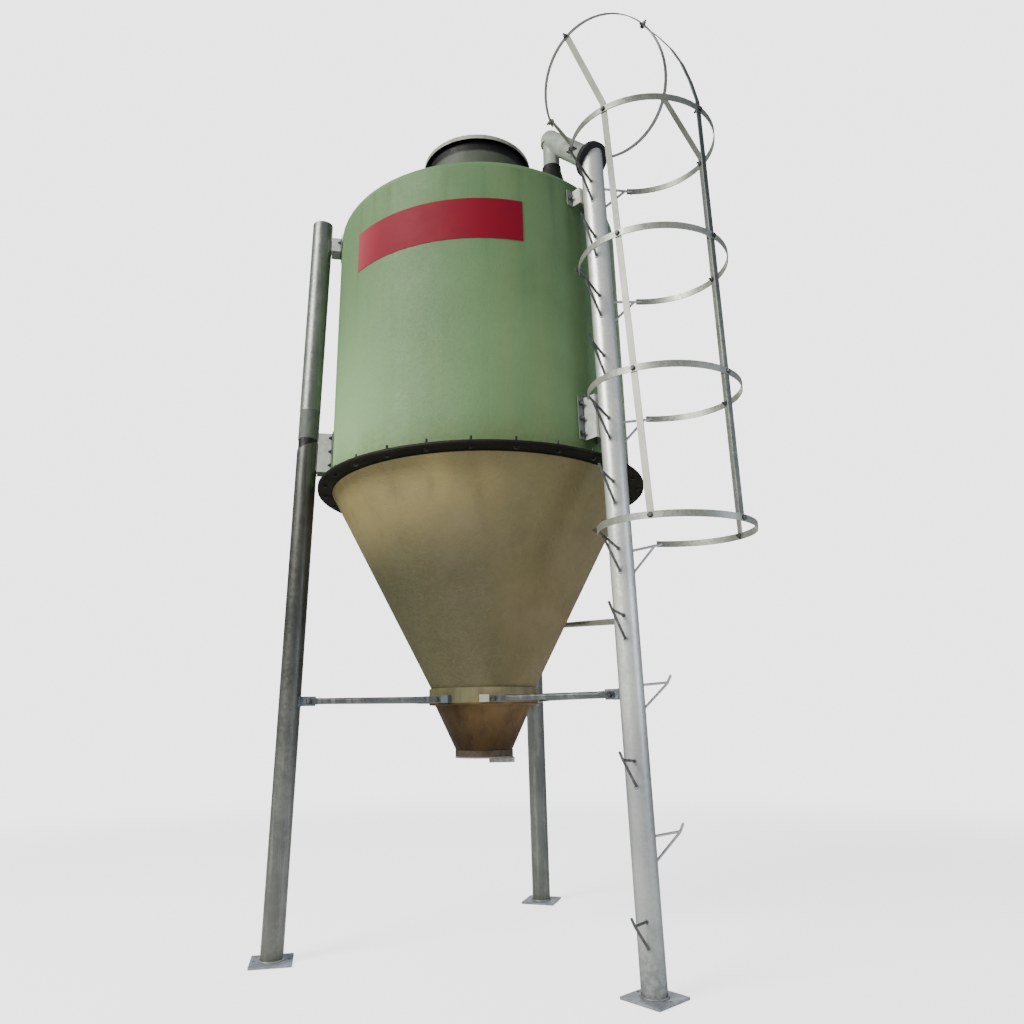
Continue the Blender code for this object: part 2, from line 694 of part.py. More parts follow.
def top_hoop_frame():
    """The tilted hoop's middle in the leg's frame, its +X towards the hoop's high outer side."""
    tilt = Matrix.Rotation(-TOP_HOOP_TILT, 4, "Y") @ Matrix.Rotation(TOP_HOOP_ROLL, 4, "X")
    return Matrix.Translation((TOP_HOOP_OUT, 0, TOP_HOOP_HEIGHT)) @ tilt


def hoops():
    frame = leg_frame(LADDER_AZIMUTH)
    droop = Matrix.Rotation(HOOP_DROOP, 4, "Y")
    for number, level in enumerate(HOOP_LEVELS, 1):
        centre = Matrix.Translation((HOOP_CENTRE_OUT, 0, step_height(level)))
        level_hoop = hoop_mesh(HOOP_RADIUS, -HOOP_HALF_SWEEP, HOOP_HALF_SWEEP)
        place(f"cage_hoop_{number}", level_hoop, galvanised, frame @ centre @ droop)
    top_hoop = hoop_mesh(TOP_HOOP_RADIUS, *TOP_HOOP_ENDS)
    place("cage_top_hoop", top_hoop, galvanised, frame @ top_hoop_frame())


def strip_mesh(points, normals, acrosses):
    """A flat bar along points: its thickness lies along each normal, its width along each across."""
    shape = bmesh.new()
    rings = []
    for point, normal, across in zip(points, normals, acrosses):
        width = across * (STRIP_WIDTH / 2)
        depth = normal * (STRIP_THICKNESS / 2)
        corners = (point - width - depth, point + width - depth, point + width + depth, point - width + depth)
        rings.append([shape.verts.new(corner) for corner in corners])
    for first, second in zip(rings, rings[1:]):
        for i in range(4):
            j = (i + 1) % 4
            shape.faces.new((first[i], first[j], second[j], second[i]))
    shape.faces.new(rings[0])
    shape.faces.new(rings[-1])
    bmesh.ops.recalc_face_normals(shape, faces=shape.faces)
    mesh = bpy.data.meshes.new("strip")
    shape.to_mesh(mesh)
    shape.free()
    return mesh


def cage_bar(name, angles, low, top_angle, bow):
    """A strip inside the level hoops, bent over and twisted on to the tilted hoop."""
    reach = HOOP_RADIUS - STRIP_THICKNESS - BAR_CLEARANCE
    bend = step_height(HOOP_LEVELS[-1]) + STRIP_WIDTH
    points = []
    acrosses = []
    for i in range(7):
        angle = angles[0] + (angles[1] - angles[0]) * i / 6
        out = Vector((math.cos(angle), math.sin(angle), 0))
        height = Vector((HOOP_CENTRE_OUT, 0, low + (bend - low) * i / 6))
        points.append(height + out * reach)
        acrosses.append(Vector((-out.y, out.x, 0)))
    head = points[-1]
    across = acrosses[-1]
    tilted = top_hoop_frame()
    spread = Matrix.Rotation(top_angle, 4, "Z")
    seat = TOP_HOOP_RADIUS - STRIP_THICKNESS - BAR_CLEARANCE * 0.65
    half = STRIP_WIDTH / 2
    landing = [tilted @ spread @ Vector((seat, 0, height)) for height in (-half, half)]
    top_out = tilted.to_3x3() @ spread.to_3x3() @ Vector((1, 0, 0))
    top_across = tilted.to_3x3() @ spread.to_3x3() @ Vector((0, 1, 0))
    steps = 5
    for i in range(1, steps):
        share = i / steps
        points.append(head.lerp(landing[0], share) + out * (bow * math.sin(math.pi * share)))
        acrosses.append(across.lerp(top_across, share).normalized())
    points += landing
    acrosses += [top_across, top_across]
    normals = []
    for i, (point, wide) in enumerate(zip(points, acrosses)):
        before = points[max(i - 1, 0)]
        after = points[min(i + 1, len(points) - 1)]
        normals.append((after - before).normalized().cross(wide).normalized())
    for i in (-2, -1):
        normals[i] = top_out * math.copysign(1, normals[i].dot(top_out))
    mesh = strip_mesh(points, normals, acrosses)
    place(name, mesh, galvanised, leg_frame(LADDER_AZIMUTH))


def cage_bars():
    low = step_height(HOOP_LEVELS[0]) - STRIP_WIDTH / 2
    cage_bar("cage_bar_near", BAR_ANGLES_NEAR, low, TOP_NODE_NEAR, 0)
    cage_bar("cage_bar_outer", BAR_ANGLES_OUTER, low, 0.0, BAR_BOW)
    cage_bar("cage_bar_far", BAR_ANGLES_FAR, low, TOP_NODE_FAR, 0)
    last = step_height(HOOP_LEVELS[-1]) - STRIP_WIDTH / 2
    cage_bar("cage_bar_left_end", (END_BAR_ANGLE, END_BAR_ANGLE), last, END_BAR_TOP_ANGLE, 0)


def head_frame():
    """The middle of the flange on the ladder leg's head, +Z up along the pipe that leaves it."""
    reach = LEG_CIRCLE - LEG_LEAN * HEAD_FLANGE_HEIGHT
    turn = Matrix.Rotation(PIPE_RISE - math.pi / 2, 4, "Y")
    return Matrix.Translation((reach, 0, HEAD_FLANGE_HEIGHT)) @ turn


def elbow(crest, radius, foot):
    """The round outer corner where the sloping pipe turns down, as far as a level foot."""
    quarter = arc(radius, math.pi / 2, 0, 6, (0, crest.z))
    if foot < crest.z:
        return round_solid(quarter[1:] + [(radius, foot)], RISER_CIRCLE)
    return round_solid(arc(radius, math.pi / 2, -math.pi / 2, 12, (0, crest.z))[1:-1], RISER_CIRCLE)


def head_pipe():
    """The black flange on the ladder leg's head, and the pipe from it over to the roof."""
    turn = Matrix.Rotation(LADDER_AZIMUTH, 4, "Z")
    half = HEAD_FLANGE_THICKNESS / 2
    bore = PIPE_RADIUS - PIPE_WALL
    outline = [(HEAD_FLANGE_RADIUS, half), (HEAD_FLANGE_RADIUS, -half), (bore, -half), (bore, half)]
    place("head_flange", turned_mesh(outline, 32), rubber_black, turn @ head_frame())
    start = head_frame() @ Vector((0, 0, half + GAP))
    rise = Vector((-math.cos(PIPE_RISE), 0, math.sin(PIPE_RISE)))
    crest = start + rise * ((start.x - RISER_CIRCLE) / math.cos(PIPE_RISE))
    foot = RISER_FOOT_HEIGHT + GAP
    riser_bore = RISER_RADIUS - PIPE_WALL
    outside = tube_mesh([start, crest], PIPE_RADIUS, 24)
    outside = combined(outside, [elbow(crest, PIPE_RADIUS + PIPE_SWELL, PIPE_SOCKET_FOOT)], "UNION")
    riser = round_solid([(RISER_RADIUS, crest.z), (RISER_RADIUS, foot)], RISER_CIRCLE)
    outside = combined(outside, [riser], "UNION")
    inside = tube_mesh([start - rise * 0.01, crest], bore, 24)
    inside = combined(inside, [elbow(crest, bore + PIPE_SWELL, crest.z)], "UNION")
    riser = round_solid([(riser_bore, crest.z), (riser_bore, foot - 0.01)], RISER_CIRCLE)
    inside = combined(inside, [riser], "UNION")
    place("head_pipe", combined(outside, [inside], "DIFFERENCE"), pipe_grey, turn)


clear_scene()
parts = collection("polyester_silo")
cutters = collection("cutters")
silo = bpy.data.objects.new("silo_axis", None)
silo.location = silo_axis()
parts.objects.link(silo)

green = finish("sage_green_grp", (0.205, 0.294, 0.162), 0.45, 0.0)
olive = finish("olive_grp", (0.224, 0.195, 0.107), 0.5, 0.0)
collar_tan = finish("tan_grp_band", (0.26, 0.22, 0.13), 0.55, 0.0)
brown = finish("dark_brown_grp", (0.085, 0.052, 0.022), 0.5, 0.0)
neck_grey = finish("neck_grey_grp", (0.09, 0.1, 0.085), 0.6, 0.0)
lid_grey = finish("lid_grey_grp", (0.35, 0.36, 0.33), 0.5, 0.0)
outlet_grey = finish("outlet_grey", (0.29, 0.27, 0.25), 0.5, 0.5)
galvanised = finish("galvanised_steel", (0.42, 0.43, 0.42), 0.45, 0.9)
bracket_grey = finish("bracket_steel", (0.5, 0.5, 0.47), 0.5, 0.9)
sleeve_grey = finish("sleeve_grey", (0.11, 0.11, 0.1), 0.6, 0.6)
pipe_grey = finish("pipe_grey", (0.36, 0.38, 0.34), 0.5, 0.3)
rubber_black = finish("rubber_black", (0.02, 0.02, 0.02), 0.7, 0.0)

LEG_AZIMUTHS = {"ladder_leg": LADDER_AZIMUTH, "rear_leg": REAR_AZIMUTH, "left_leg": LEFT_AZIMUTH}

body_and_roof()
cone_and_outlet()
legs()
foot_plates()
brackets()
struts()
tie()
ladder_steps()
hoops()
cage_bars()
head_pipe()
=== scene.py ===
import math

import bmesh
import bpy
from mathutils import Matrix, Vector


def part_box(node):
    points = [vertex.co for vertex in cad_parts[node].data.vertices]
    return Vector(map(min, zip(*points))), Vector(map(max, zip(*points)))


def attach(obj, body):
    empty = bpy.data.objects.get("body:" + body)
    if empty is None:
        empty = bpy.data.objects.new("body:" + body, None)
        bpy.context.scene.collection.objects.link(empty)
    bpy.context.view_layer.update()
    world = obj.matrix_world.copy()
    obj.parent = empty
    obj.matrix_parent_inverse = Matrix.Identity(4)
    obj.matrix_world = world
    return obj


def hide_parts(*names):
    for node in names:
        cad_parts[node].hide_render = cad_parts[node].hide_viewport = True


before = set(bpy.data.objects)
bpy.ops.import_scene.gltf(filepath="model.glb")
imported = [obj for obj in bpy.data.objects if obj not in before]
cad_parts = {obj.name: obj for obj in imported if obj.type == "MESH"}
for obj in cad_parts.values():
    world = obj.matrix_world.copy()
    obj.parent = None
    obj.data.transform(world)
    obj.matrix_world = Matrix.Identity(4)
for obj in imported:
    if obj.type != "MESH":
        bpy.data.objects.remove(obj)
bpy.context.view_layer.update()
print("frame loaded:", len(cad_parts), "nodes")

# The silo's own axis and its legs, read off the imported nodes
bodyLow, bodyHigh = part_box("body_cylinder")
axis = Vector(((bodyLow.x + bodyHigh.x) / 2, (bodyLow.y + bodyHigh.y) / 2, 0))
rimRadius = (bodyHigh.x - bodyLow.x) / 2
rimSeam = bodyLow.z
wallHeadHeight = bodyHigh.z
wallHeadRadius = (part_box("roof")[1].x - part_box("roof")[0].x) / 2

legShape = {"lean": 0.0418, "radius": 0.05715}
legNames = ("ladder_leg", "rear_leg", "left_leg")
feet = {name: sum(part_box(name + "_foot_plate"), Vector()) / 2 for name in legNames}
legTurns = {name: math.atan2(foot.y - axis.y, foot.x - axis.x) for name, foot in feet.items()}
legCircle = (feet["ladder_leg"].xy - axis.xy).length


def legFrame(name):  # x points outward and the leg leans in with height
    lean = Matrix.Identity(4)
    lean[0][2] = -legShape["lean"]
    lean[0][3] = legCircle
    return Matrix.Translation(axis) @ Matrix.Rotation(legTurns[name], 4, "Z") @ lean


def srgb(red, green, blue):
    shares = [value / 255 for value in (red, green, blue)]
    linear = [s / 12.92 if s <= 0.04045 else ((s + 0.055) / 1.055) ** 2.4 for s in shares]
    return (*linear, 1)


def placed(name, data):
    item = bpy.data.objects.new(name, data)
    bpy.context.scene.collection.objects.link(item)
    return item


def meshOf(name, shape):
    mesh = bpy.data.meshes.new(name)
    shape.to_mesh(mesh)
    shape.free()
    return mesh


# Small helpers for node trees


def addNode(tree, kind, **settings):
    node = tree.nodes.new(kind)
    for key, value in settings.items():
        setattr(node, key, value)
    return node


def feed(node, socket, source):  # a socket is linked and a plain value is set
    if isinstance(source, bpy.types.NodeSocket):
        node.id_data.links.new(source, node.inputs[socket])
    elif source is not None:
        node.inputs[socket].default_value = source


def fed(kind, sources, **settings):  # the outputs of a new node in its sources' own tree
    tree = next(s.id_data for s in sources.values() if isinstance(s, bpy.types.NodeSocket))
    node = addNode(tree, kind, **settings)
    for socket, source in sources.items():
        feed(node, socket, source)
    return node.outputs


def maths(operation, first, second=None):
    return fed("ShaderNodeMath", {0: first, 1: second}, operation=operation)[0]


def times(first, second):
    return maths("MULTIPLY", first, second)


def plus(first, second):
    return maths("ADD", first, second)


def minus(first, second):
    return maths("SUBTRACT", first, second)


def remap(value, low, high, start=0.0, end=1.0):
    sources = dict(enumerate((value, low, high, start, end)))
    return fed("ShaderNodeMapRange", sources, interpolation_type="SMOOTHSTEP")[0]


def mixColour(share, first, second, kind="MIX"):
    sources = {0: share, 6: first, 7: second}
    return fed("ShaderNodeMix", sources, data_type="RGBA", blend_type=kind)[2]


def noise(vector, scale, detail=3.0, roughness=0.55):
    sources = {"Vector": vector, "Scale": scale, "Detail": detail, "Roughness": roughness}
    return fed("ShaderNodeTexNoise", sources)["Fac"]


def mapped(vector, scale=(1, 1, 1), turn=(0, 0, 0), move=(0, 0, 0)):
    sources = {"Vector": vector, "Scale": scale, "Rotation": turn, "Location": move}
    return fed("ShaderNodeMapping", sources)[0]


def centred(vector):  # measured from the silo's axis
    return mapped(vector, move=(-axis.x, -axis.y, 0))


def effectGroup(name, inputs, outputs):  # it takes a vector and the numbers named
    tree = bpy.data.node_groups.new(name, "ShaderNodeTree")
    tree.interface.new_socket("Vector", in_out="INPUT", socket_type="NodeSocketVector")
    for label, value in inputs.items():
        socket = tree.interface.new_socket(label, in_out="INPUT", socket_type="NodeSocketFloat")
        socket.default_value = value
    for label in outputs:
        tree.interface.new_socket(label, in_out="OUTPUT", socket_type="NodeSocketFloat")
    return tree, addNode(tree, "NodeGroupInput").outputs, addNode(tree, "NodeGroupOutput")


def placeGroup(group, **values):
    return fed("ShaderNodeGroup", values, node_tree=group)


def newFinish(name, **constants):
    material = bpy.data.materials.new(name)
    material.use_nodes = True
    tree = material.node_tree
    shader = tree.nodes["Principled BSDF"]
    for label, value in constants.items():
        shader.inputs[label.replace("_", " ")].default_value = value
    place = addNode(tree, "ShaderNodeTexCoord").outputs["Object"]
    return material, shader, centred(place)


def reopened(material):  # a finish that takes one more layer over its colour
    tree = material.node_tree
    shader = tree.nodes["Principled BSDF"]
    place = addNode(tree, "ShaderNodeTexCoord").outputs["Object"]
    return shader, place, shader.inputs["Base Color"].links[0].from_socket


def roughen(shader, height, distance):
    bump = fed("ShaderNodeBump", {"Distance": distance, "Strength": 1.0, "Height": height})
    feed(shader, "Normal", bump[0])


def partOf(vector, index):
    return fed("ShaderNodeSeparateXYZ", {0: vector})[index]


def acrossOf(vector):
    return partOf(vector, 0)


def heightOf(vector):
    return partOf(vector, 2)


def radiusOf(vector):
    flat = mapped(vector, scale=(1, 1, 0))
    return fed("ShaderNodeVectorMath", {0: flat}, operation="LENGTH")["Value"]


def turnOf(vector):  # the angle round the silo's axis
    return maths("ARCTAN2", partOf(vector, 1), partOf(vector, 0))


def tinted(colour, share, tint):
    return mixColour(share, colour, (*tint, 1), "MULTIPLY")


# Camera, floor and light

cameraView = {
    "place": (0.0, -4.4506, 1.1924),  # from the silo's axis
    "lens": 27.97,
    "sensor": 36,
    "pitch": 9.605,
    "yaw": 0.851,
    "roll": -0.834,
    "shift": (0.01773, 0.0690),
}


def makeCamera():
    pitch, yaw, roll = (math.radians(cameraView[key]) for key in ("pitch", "yaw", "roll"))
    level = Vector((math.sin(yaw), math.cos(yaw), 0))
    ahead = level * math.cos(pitch) + Vector((0, 0, math.sin(pitch)))
    right = Vector((math.cos(yaw), -math.sin(yaw), 0))
    up = right.cross(ahead)
    sideways = right * math.cos(roll) + up * math.sin(roll)
    upright = up * math.cos(roll) - right * math.sin(roll)
    data = bpy.data.cameras.new("viewCamera")
    data.lens = cameraView["lens"]
    data.sensor_width = cameraView["sensor"]
    data.shift_x, data.shift_y = cameraView["shift"]
    camera = placed("viewCamera", data)
    turn = Matrix((sideways, upright, -ahead)).transposed().to_4x4()
    camera.matrix_world = Matrix.Translation(axis + Vector(cameraView["place"])) @ turn
    bpy.context.scene.camera = camera


lights = {
    "key": {"place": (-7.0, -5.5, 8.2), "size": 5.0, "power": 1600, "colour": (1.0, 0.98, 0.92)},
    "fill": {"place": (7.0, -4.5, 3.0), "size": 4.0, "power": 170, "colour": (0.72, 0.80, 1.0)},
    "back": {"place": (1.5, 8.0, 7.0), "size": 6.0, "power": 300, "colour": (0.95, 0.97, 1.0)},
    "target": (0.0, 0.0, 2.6),
    "surroundings": 0.32,
    "bounce": 0.3,
    "backdrop": 3.2,
}
ground = {
    "size": 40,
    "drop": 0.002,
    "paint": 0.8,
    "near": 0.62,
    "innerRadius": 2.6,
    "outerRadius": 11.0,
}
white = (1, 1, 1, 1)


def makeLights():
    for name in ("key", "fill", "back"):
        values = lights[name]
        data = bpy.data.lights.new(name, "AREA")
        data.shape = "DISK"
        data.size = values["size"]
        data.energy = values["power"]
        data.color = values["colour"]
        lamp = placed(name, data)
        lamp.location = values["place"]
        aim = Vector(lights["target"]) - lamp.location
        lamp.rotation_euler = aim.to_track_quat("-Z", "Y").to_euler()
    world = bpy.data.worlds.new("studio")
    bpy.context.scene.world = world
    world.use_nodes = True
    tree = world.node_tree
    shown = tree.nodes["Background"]
    feed(shown, "Color", white)
    feed(shown, "Strength", lights["backdrop"])
    lit = addNode(tree, "ShaderNodeBackground")
    feed(lit, "Color", srgb(236, 241, 248))
    feed(lit, "Strength", lights["surroundings"])
    seen = addNode(tree, "ShaderNodeLightPath").outputs["Is Camera Ray"]
    mixed = fed("ShaderNodeMixShader", {0: seen, 1: lit.outputs[0], 2: shown.outputs[0]})[0]
    feed(tree.nodes["World Output"], "Surface", mixed)


def makeFloor():
    shape = bmesh.new()
    bmesh.ops.create_grid(shape, x_segments=4, y_segments=4, size=ground["size"])
    mesh = meshOf("studioFloor", shape)
    mesh.transform(Matrix.Translation((0, 0, -ground["drop"])))
    floor = placed("studioFloor", mesh)
    paint, shader, place = newFinish("paleFloor", Roughness=0.9, Specular_IOR_Level=0.1)
    far = remap(radiusOf(place), ground["innerRadius"], ground["outerRadius"])
    plain = (*[ground["paint"]] * 3, 1)
    feed(shader, "Base Color", mixColour(far, plain, (0, 0, 0, 1)))
    feed(shader, "Emission Color", white)
    seen = addNode(paint.node_tree, "ShaderNodeLightPath").outputs["Is Camera Ray"]
    glow = remap(far, 0.0, 1.0, lights["backdrop"] * ground["near"], lights["backdrop"])
    bounce = remap(far, 0.0, 1.0, lights["bounce"], 0.0)
    feed(shader, "Emission Strength", remap(seen, 0.0, 1.0, bounce, glow))
    floor.data.materials.append(paint)


makeCamera()
makeLights()
makeFloor()
print("camera, light and floor made")


# Effects shared by several finishes


def makeSpangle():  # the crystals of hot-dip zinc, with cloudy patches over them
    tree, given, put = effectGroup("zincSpangle", {"Scale": 90.0}, ["Shade", "Cloud", "Height"])
    vector, scale = given["Vector"], given["Scale"]
    cells = fed("ShaderNodeTexVoronoi", {"Vector": vector, "Scale": scale}, feature="F1")
    tone = fed("ShaderNodeSeparateColor", {0: cells["Color"]})[0]
    fine = noise(vector, times(scale, 3.1), 4.0, 0.7)
    cloud = noise(vector, times(scale, 0.07), 3.0)
    feed(put, "Shade", plus(times(tone, 0.65), times(fine, 0.35)))
    feed(put, "Cloud", remap(cloud, 0.35, 0.68))
    feed(put, "Height", plus(times(cells["Distance"], 0.3), fine))
    return tree


def makeRuns():  # marks that water leaves as it runs down a surface
    inputs = {"Scale": 12.0, "Stretch": 0.05, "Cover": 0.5}
    tree, given, put = effectGroup("waterRuns", inputs, ["Mask"])
    vector, scale = given["Vector"], given["Scale"]
    stretch = fed("ShaderNodeCombineXYZ", {0: 1.0, 1: 1.0, 2: given["Stretch"]})[0]
    long = noise(mapped(vector, stretch), scale, 4.0, 0.6)
    broken = noise(vector, times(scale, 0.35), 2.0)
    value = plus(times(long, 0.75), times(broken, 0.25))
    edge = minus(0.72, times(given["Cover"], 0.3))
    feed(put, "Mask", remap(value, minus(edge, 0.08), plus(edge, 0.06)))
    return tree


def makeFibres():  # chopped glass strands that show through the resin, in four directions
    tree, given, put = effectGroup("glassFibres", {"Scale": 26.0}, ["Strands", "Height"])
    vector, scale = given["Vector"], given["Scale"]
    total = None
    for turn in ((0.3, 0.2, 0.1), (1.1, 0.5, 0.9), (0.4, 1.3, 2.0), (2.2, 0.9, 1.4)):
        squeezed = mapped(mapped(vector, turn=turn), scale=(1.0, 7.0, 1.0))
        wave = noise(squeezed, scale, 1.0, 0.4)
        ridge = maths("ABSOLUTE", minus(wave, 0.5))
        strand = remap(ridge, 0.0, 0.035, 1.0, 0.0)
        total = strand if total is None else maths("MAXIMUM", total, strand)
    feed(put, "Strands", total)
    lumps = noise(vector, times(scale, 0.4), 3.0)
    feed(put, "Height", plus(times(total, 0.3), lumps))
    return tree


def makeGrime():  # dust and splashes between two heights, ragged at the upper edge
    tree, given, put = effectGroup("lowGrime", {"Low": 0.0, "High": 0.3, "Scale": 9.0}, ["Mask"])
    vector, low, high, scale = (given[label] for label in ("Vector", "Low", "High", "Scale"))
    ragged = noise(vector, scale, 5.0, 0.65)
    wander = times(minus(ragged, 0.5), minus(high, low))
    height = plus(heightOf(vector), times(wander, 1.4))
    fade = remap(height, low, high, 1.0, 0.0)
    fine = noise(vector, times(scale, 6.0), 3.0)
    feed(put, "Mask", times(fade, remap(fine, 0.35, 0.6, 0.45, 1.0)))
    return tree


spangle = makeSpangle()
runs = makeRuns()
fibres = makeFibres()
grime = makeGrime()
print("shared effects made")


# Finishes


oliveShell = {
    "brown": srgb(119, 107, 76),
    "green": srgb(107, 99, 65),
    "light": srgb(188, 172, 108),
    "strand": srgb(140, 130, 96),
    "runs": srgb(82, 72, 50),
    "shade": (0.46, 0.49, 0.42),
    "lit": (1.3, 1.25, 1.18),
    "leftEdgeShade": (0.72, 0.82, 0.7),
    # painted shade for the undersides at the rim
    "rim": srgb(22, 21, 14),
    "rimDepth": 0.016,
}

greenShell = {
    "green": srgb(92, 122, 84),
    "pale": srgb(104, 134, 92),
    "warm": srgb(120, 134, 88),
    "dark": srgb(66, 84, 60),
    "dust": srgb(104, 112, 70),
    "litMint": srgb(140, 176, 128),
    "facetShade": (0.86, 0.88, 0.86),
    "lowLight": (1.2, 1.16, 1.16),
    "rightLight": (1.4, 1.2, 1.65),
    "panels": math.radians(18),
    "riser": 0.635,
    "stub": 0.079,
    "stubShadow": srgb(26, 29, 26),
}


def makeGreen(name, low, high):  # gel coat, dulled by weather, with runs below its top edge, and painted light and shade over it
    material, shader, place = newFinish(name, Specular_IOR_Level=0.25)
    across, height, span = acrossOf(place), heightOf(place), high - low
    broad = remap(noise(place, 1.1, 2.0), 0.3, 0.7)
    colour = mixColour(broad, greenShell["green"], greenShell["pale"])
    band = noise(mapped(place, scale=(1, 1, 0.04)), 3.2, 3.0)
    colour = mixColour(remap(band, 0.52, 0.75, 0.0, 0.4), colour, greenShell["warm"])
    # painted shading of the mould's flat panels: each one darkens a little across its width
    turn = plus(turnOf(place), 10.0)
    panels = maths("FRACT", maths("DIVIDE", turn, greenShell["panels"]))
    colour = tinted(colour, times(panels, 0.3), greenShell["facetShade"])
    # painted light: a pale mint on the lower left, where the light falls
    left = remap(across, -0.15, -0.85)
    litLowerLeft = times(left, remap(height, low, low + span * 0.9, 0.85, 0.0))
    colour = mixColour(litLowerLeft, colour, greenShell["litMint"])
    # painted light from below brightens the lower wall
    lower = remap(height, low + span * 0.6, low + span * 0.1)
    colour = tinted(colour, lower, greenShell["lowLight"])
    # painted cool light brightens the right side
    colour = tinted(colour, remap(across, 0.4, 1.05), greenShell["rightLight"])
    marks = placeGroup(runs, Vector=place, Scale=11.0, Stretch=0.045, Cover=0.45)["Mask"]
    top = remap(height, low + span * 0.35, high, 0.0, 0.3)
    colour = mixColour(times(marks, top), colour, greenShell["dark"])
    dirt = placeGroup(grime, Vector=place, Low=low, High=low + 0.22, Scale=7.0)["Mask"]
    colour = mixColour(times(dirt, 0.5), colour, greenShell["dust"])
    speck = remap(noise(place, 140.0, 2.0), 0.66, 0.74, 0.0, 0.35)
    colour = mixColour(speck, colour, greenShell["dark"])
    # painted shade: the flange's outer edge goes black like the rim below it
    edge = remap(radiusOf(place), rimRadius - 0.004, rimRadius - 0.003)
    colour = mixColour(edge, colour, oliveShell["rim"])
    # painted shadow: the roof stub under the pipe's elbow goes near black
    riser = Matrix.Rotation(legTurns["ladder_leg"], 4, "Z") @ Vector((greenShell["riser"], 0, 0))
    around = radiusOf(mapped(place, move=(-riser.x, -riser.y, 0)))
    stub = remap(around, greenShell["stub"], greenShell["stub"] + 0.004, 1.0, 0.0)
    stub = times(stub, remap(height, wallHeadHeight, wallHeadHeight + 0.05))
    feed(shader, "Base Color", mixColour(stub, colour, greenShell["stubShadow"]))
    gloss = remap(noise(place, 5.0, 4.0), 0.3, 0.7, 0.52, 0.6)
    feed(shader, "Roughness", plus(gloss, times(marks, 0.1)))
    mat = placeGroup(fibres, Vector=place, Scale=17.0)["Height"]
    wave = times(noise(place, 3.0, 1.0), 5.0)
    peel = times(noise(place, 220.0, 2.0), 0.16)
    roughen(shader, plus(plus(mat, wave), peel), 0.0016)
    return material


def makeOlive():  # bare laminate: cloudy resin over strands, with painted light and shade on its sides, and painted shade that makes it black under the bolted rim
    material, shader, place = newFinish("oliveLaminate", Specular_IOR_Level=0.4)
    clouds = remap(noise(place, 2.3, 3.0), 0.34, 0.66)
    colour = mixColour(clouds, oliveShell["brown"], oliveShell["green"])
    across, height = acrossOf(place), heightOf(place)
    # yellow staining on the upper left, brightened by painted sunlight from that side
    patch = remap(noise(mapped(place, move=(3.1, 1.7, 0.4)), 1.6, 3.0), 0.42, 0.72)
    upper = remap(height, rimSeam - 0.5, rimSeam - 0.1, 0.0, 0.8)
    left = remap(across, 0.5, -0.6, 0.25, 1.0)
    broken = remap(patch, 0.0, 1.0, 0.45, 1.0)
    light = times(times(upper, left), broken)
    colour = mixColour(light, colour, oliveShell["light"])
    # painted shade on the lower left, darker still at its left edge, and painted light on the
    # lower right
    low = remap(height, rimSeam - 0.2, rimSeam - 0.6)
    for key, start, end in (("shade", 0.25, -0.15), ("lit", 0.0, 0.25), ("leftEdgeShade", -0.1, -0.4)):
        share = times(low, remap(across, start, end))
        colour = tinted(colour, share, oliveShell[key])
    mat = placeGroup(fibres, Vector=place, Scale=19.0)
    colour = mixColour(times(mat["Strands"], 0.16), colour, oliveShell["strand"])
    marks = placeGroup(runs, Vector=place, Scale=9.0, Stretch=0.08, Cover=0.4)["Mask"]
    colour = mixColour(times(marks, 0.22), colour, oliveShell["runs"])
    # painted shade: black under the bolted rim, where the flange's underside lies in shadow
    rimFoot = rimSeam - oliveShell["rimDepth"]
    inRim = remap(height, rimFoot - 0.004, rimFoot)
    feed(shader, "Base Color", mixColour(inRim, colour, oliveShell["rim"]))
    gloss = remap(noise(place, 6.0, 4.0), 0.3, 0.7, 0.42, 0.62)
    feed(shader, "Roughness", plus(gloss, times(inRim, 0.3)))
    feed(shader, "Specular IOR Level", remap(inRim, 0.0, 1.0, 0.4, 0.12))
    roughen(shader, mat["Height"], 0.0022)
    return material


def makeLaminate(name, colours, gloss, runScale=14.0, runShare=0.5, leftShade=None):
    main, other, streak = colours
    material, shader, place = newFinish(name, Specular_IOR_Level=0.4)
    clouds = remap(noise(place, 7.0, 4.0), 0.32, 0.68)
    colour = mixColour(clouds, main, other)
    marks = placeGroup(runs, Vector=place, Scale=runScale, Stretch=0.12, Cover=0.6)["Mask"]
    colour = mixColour(times(marks, runShare), colour, streak)
    mat = placeGroup(fibres, Vector=place, Scale=28.0)
    colour = mixColour(times(mat["Strands"], 0.1), colour, other)
    # painted shade darkens the left side
    if leftShade is not None:
        colour = tinted(colour, remap(acrossOf(place), 0.05, -0.2), leftShade)
    feed(shader, "Base Color", colour)
    feed(shader, "Roughness", remap(noise(place, 9.0, 3.0), 0.3, 0.7, gloss, gloss + 0.18))
    roughen(shader, mat["Height"], 0.0016)
    return material


neckShell = {
    "colours": (srgb(70, 77, 66), srgb(82, 90, 78), srgb(60, 66, 56)),
    "shade": srgb(7, 8, 6),
    "band": 0.078,
}


def makeNeck():  # dark grey laminate, with a painted shadow that makes it black under the lid
    material = makeLaminate("neckLaminate", neckShell["colours"], 0.5, 18.0, 0.2)
    shader, place, colour = reopened(material)
    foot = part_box("lid_neck")[1].z - neckShell["band"]
    wander = times(minus(noise(place, 8.0, 2.0), 0.5), 0.02)
    height = plus(heightOf(place), wander)
    lidShadow = remap(height, foot - 0.012, foot + 0.006)
    feed(shader, "Base Color", mixColour(lidShadow, colour, neckShell["shade"]))
    return material


lidShell = {"grey": srgb(176, 177, 166), "dirt": srgb(120, 122, 108), "under": srgb(12, 12, 11)}


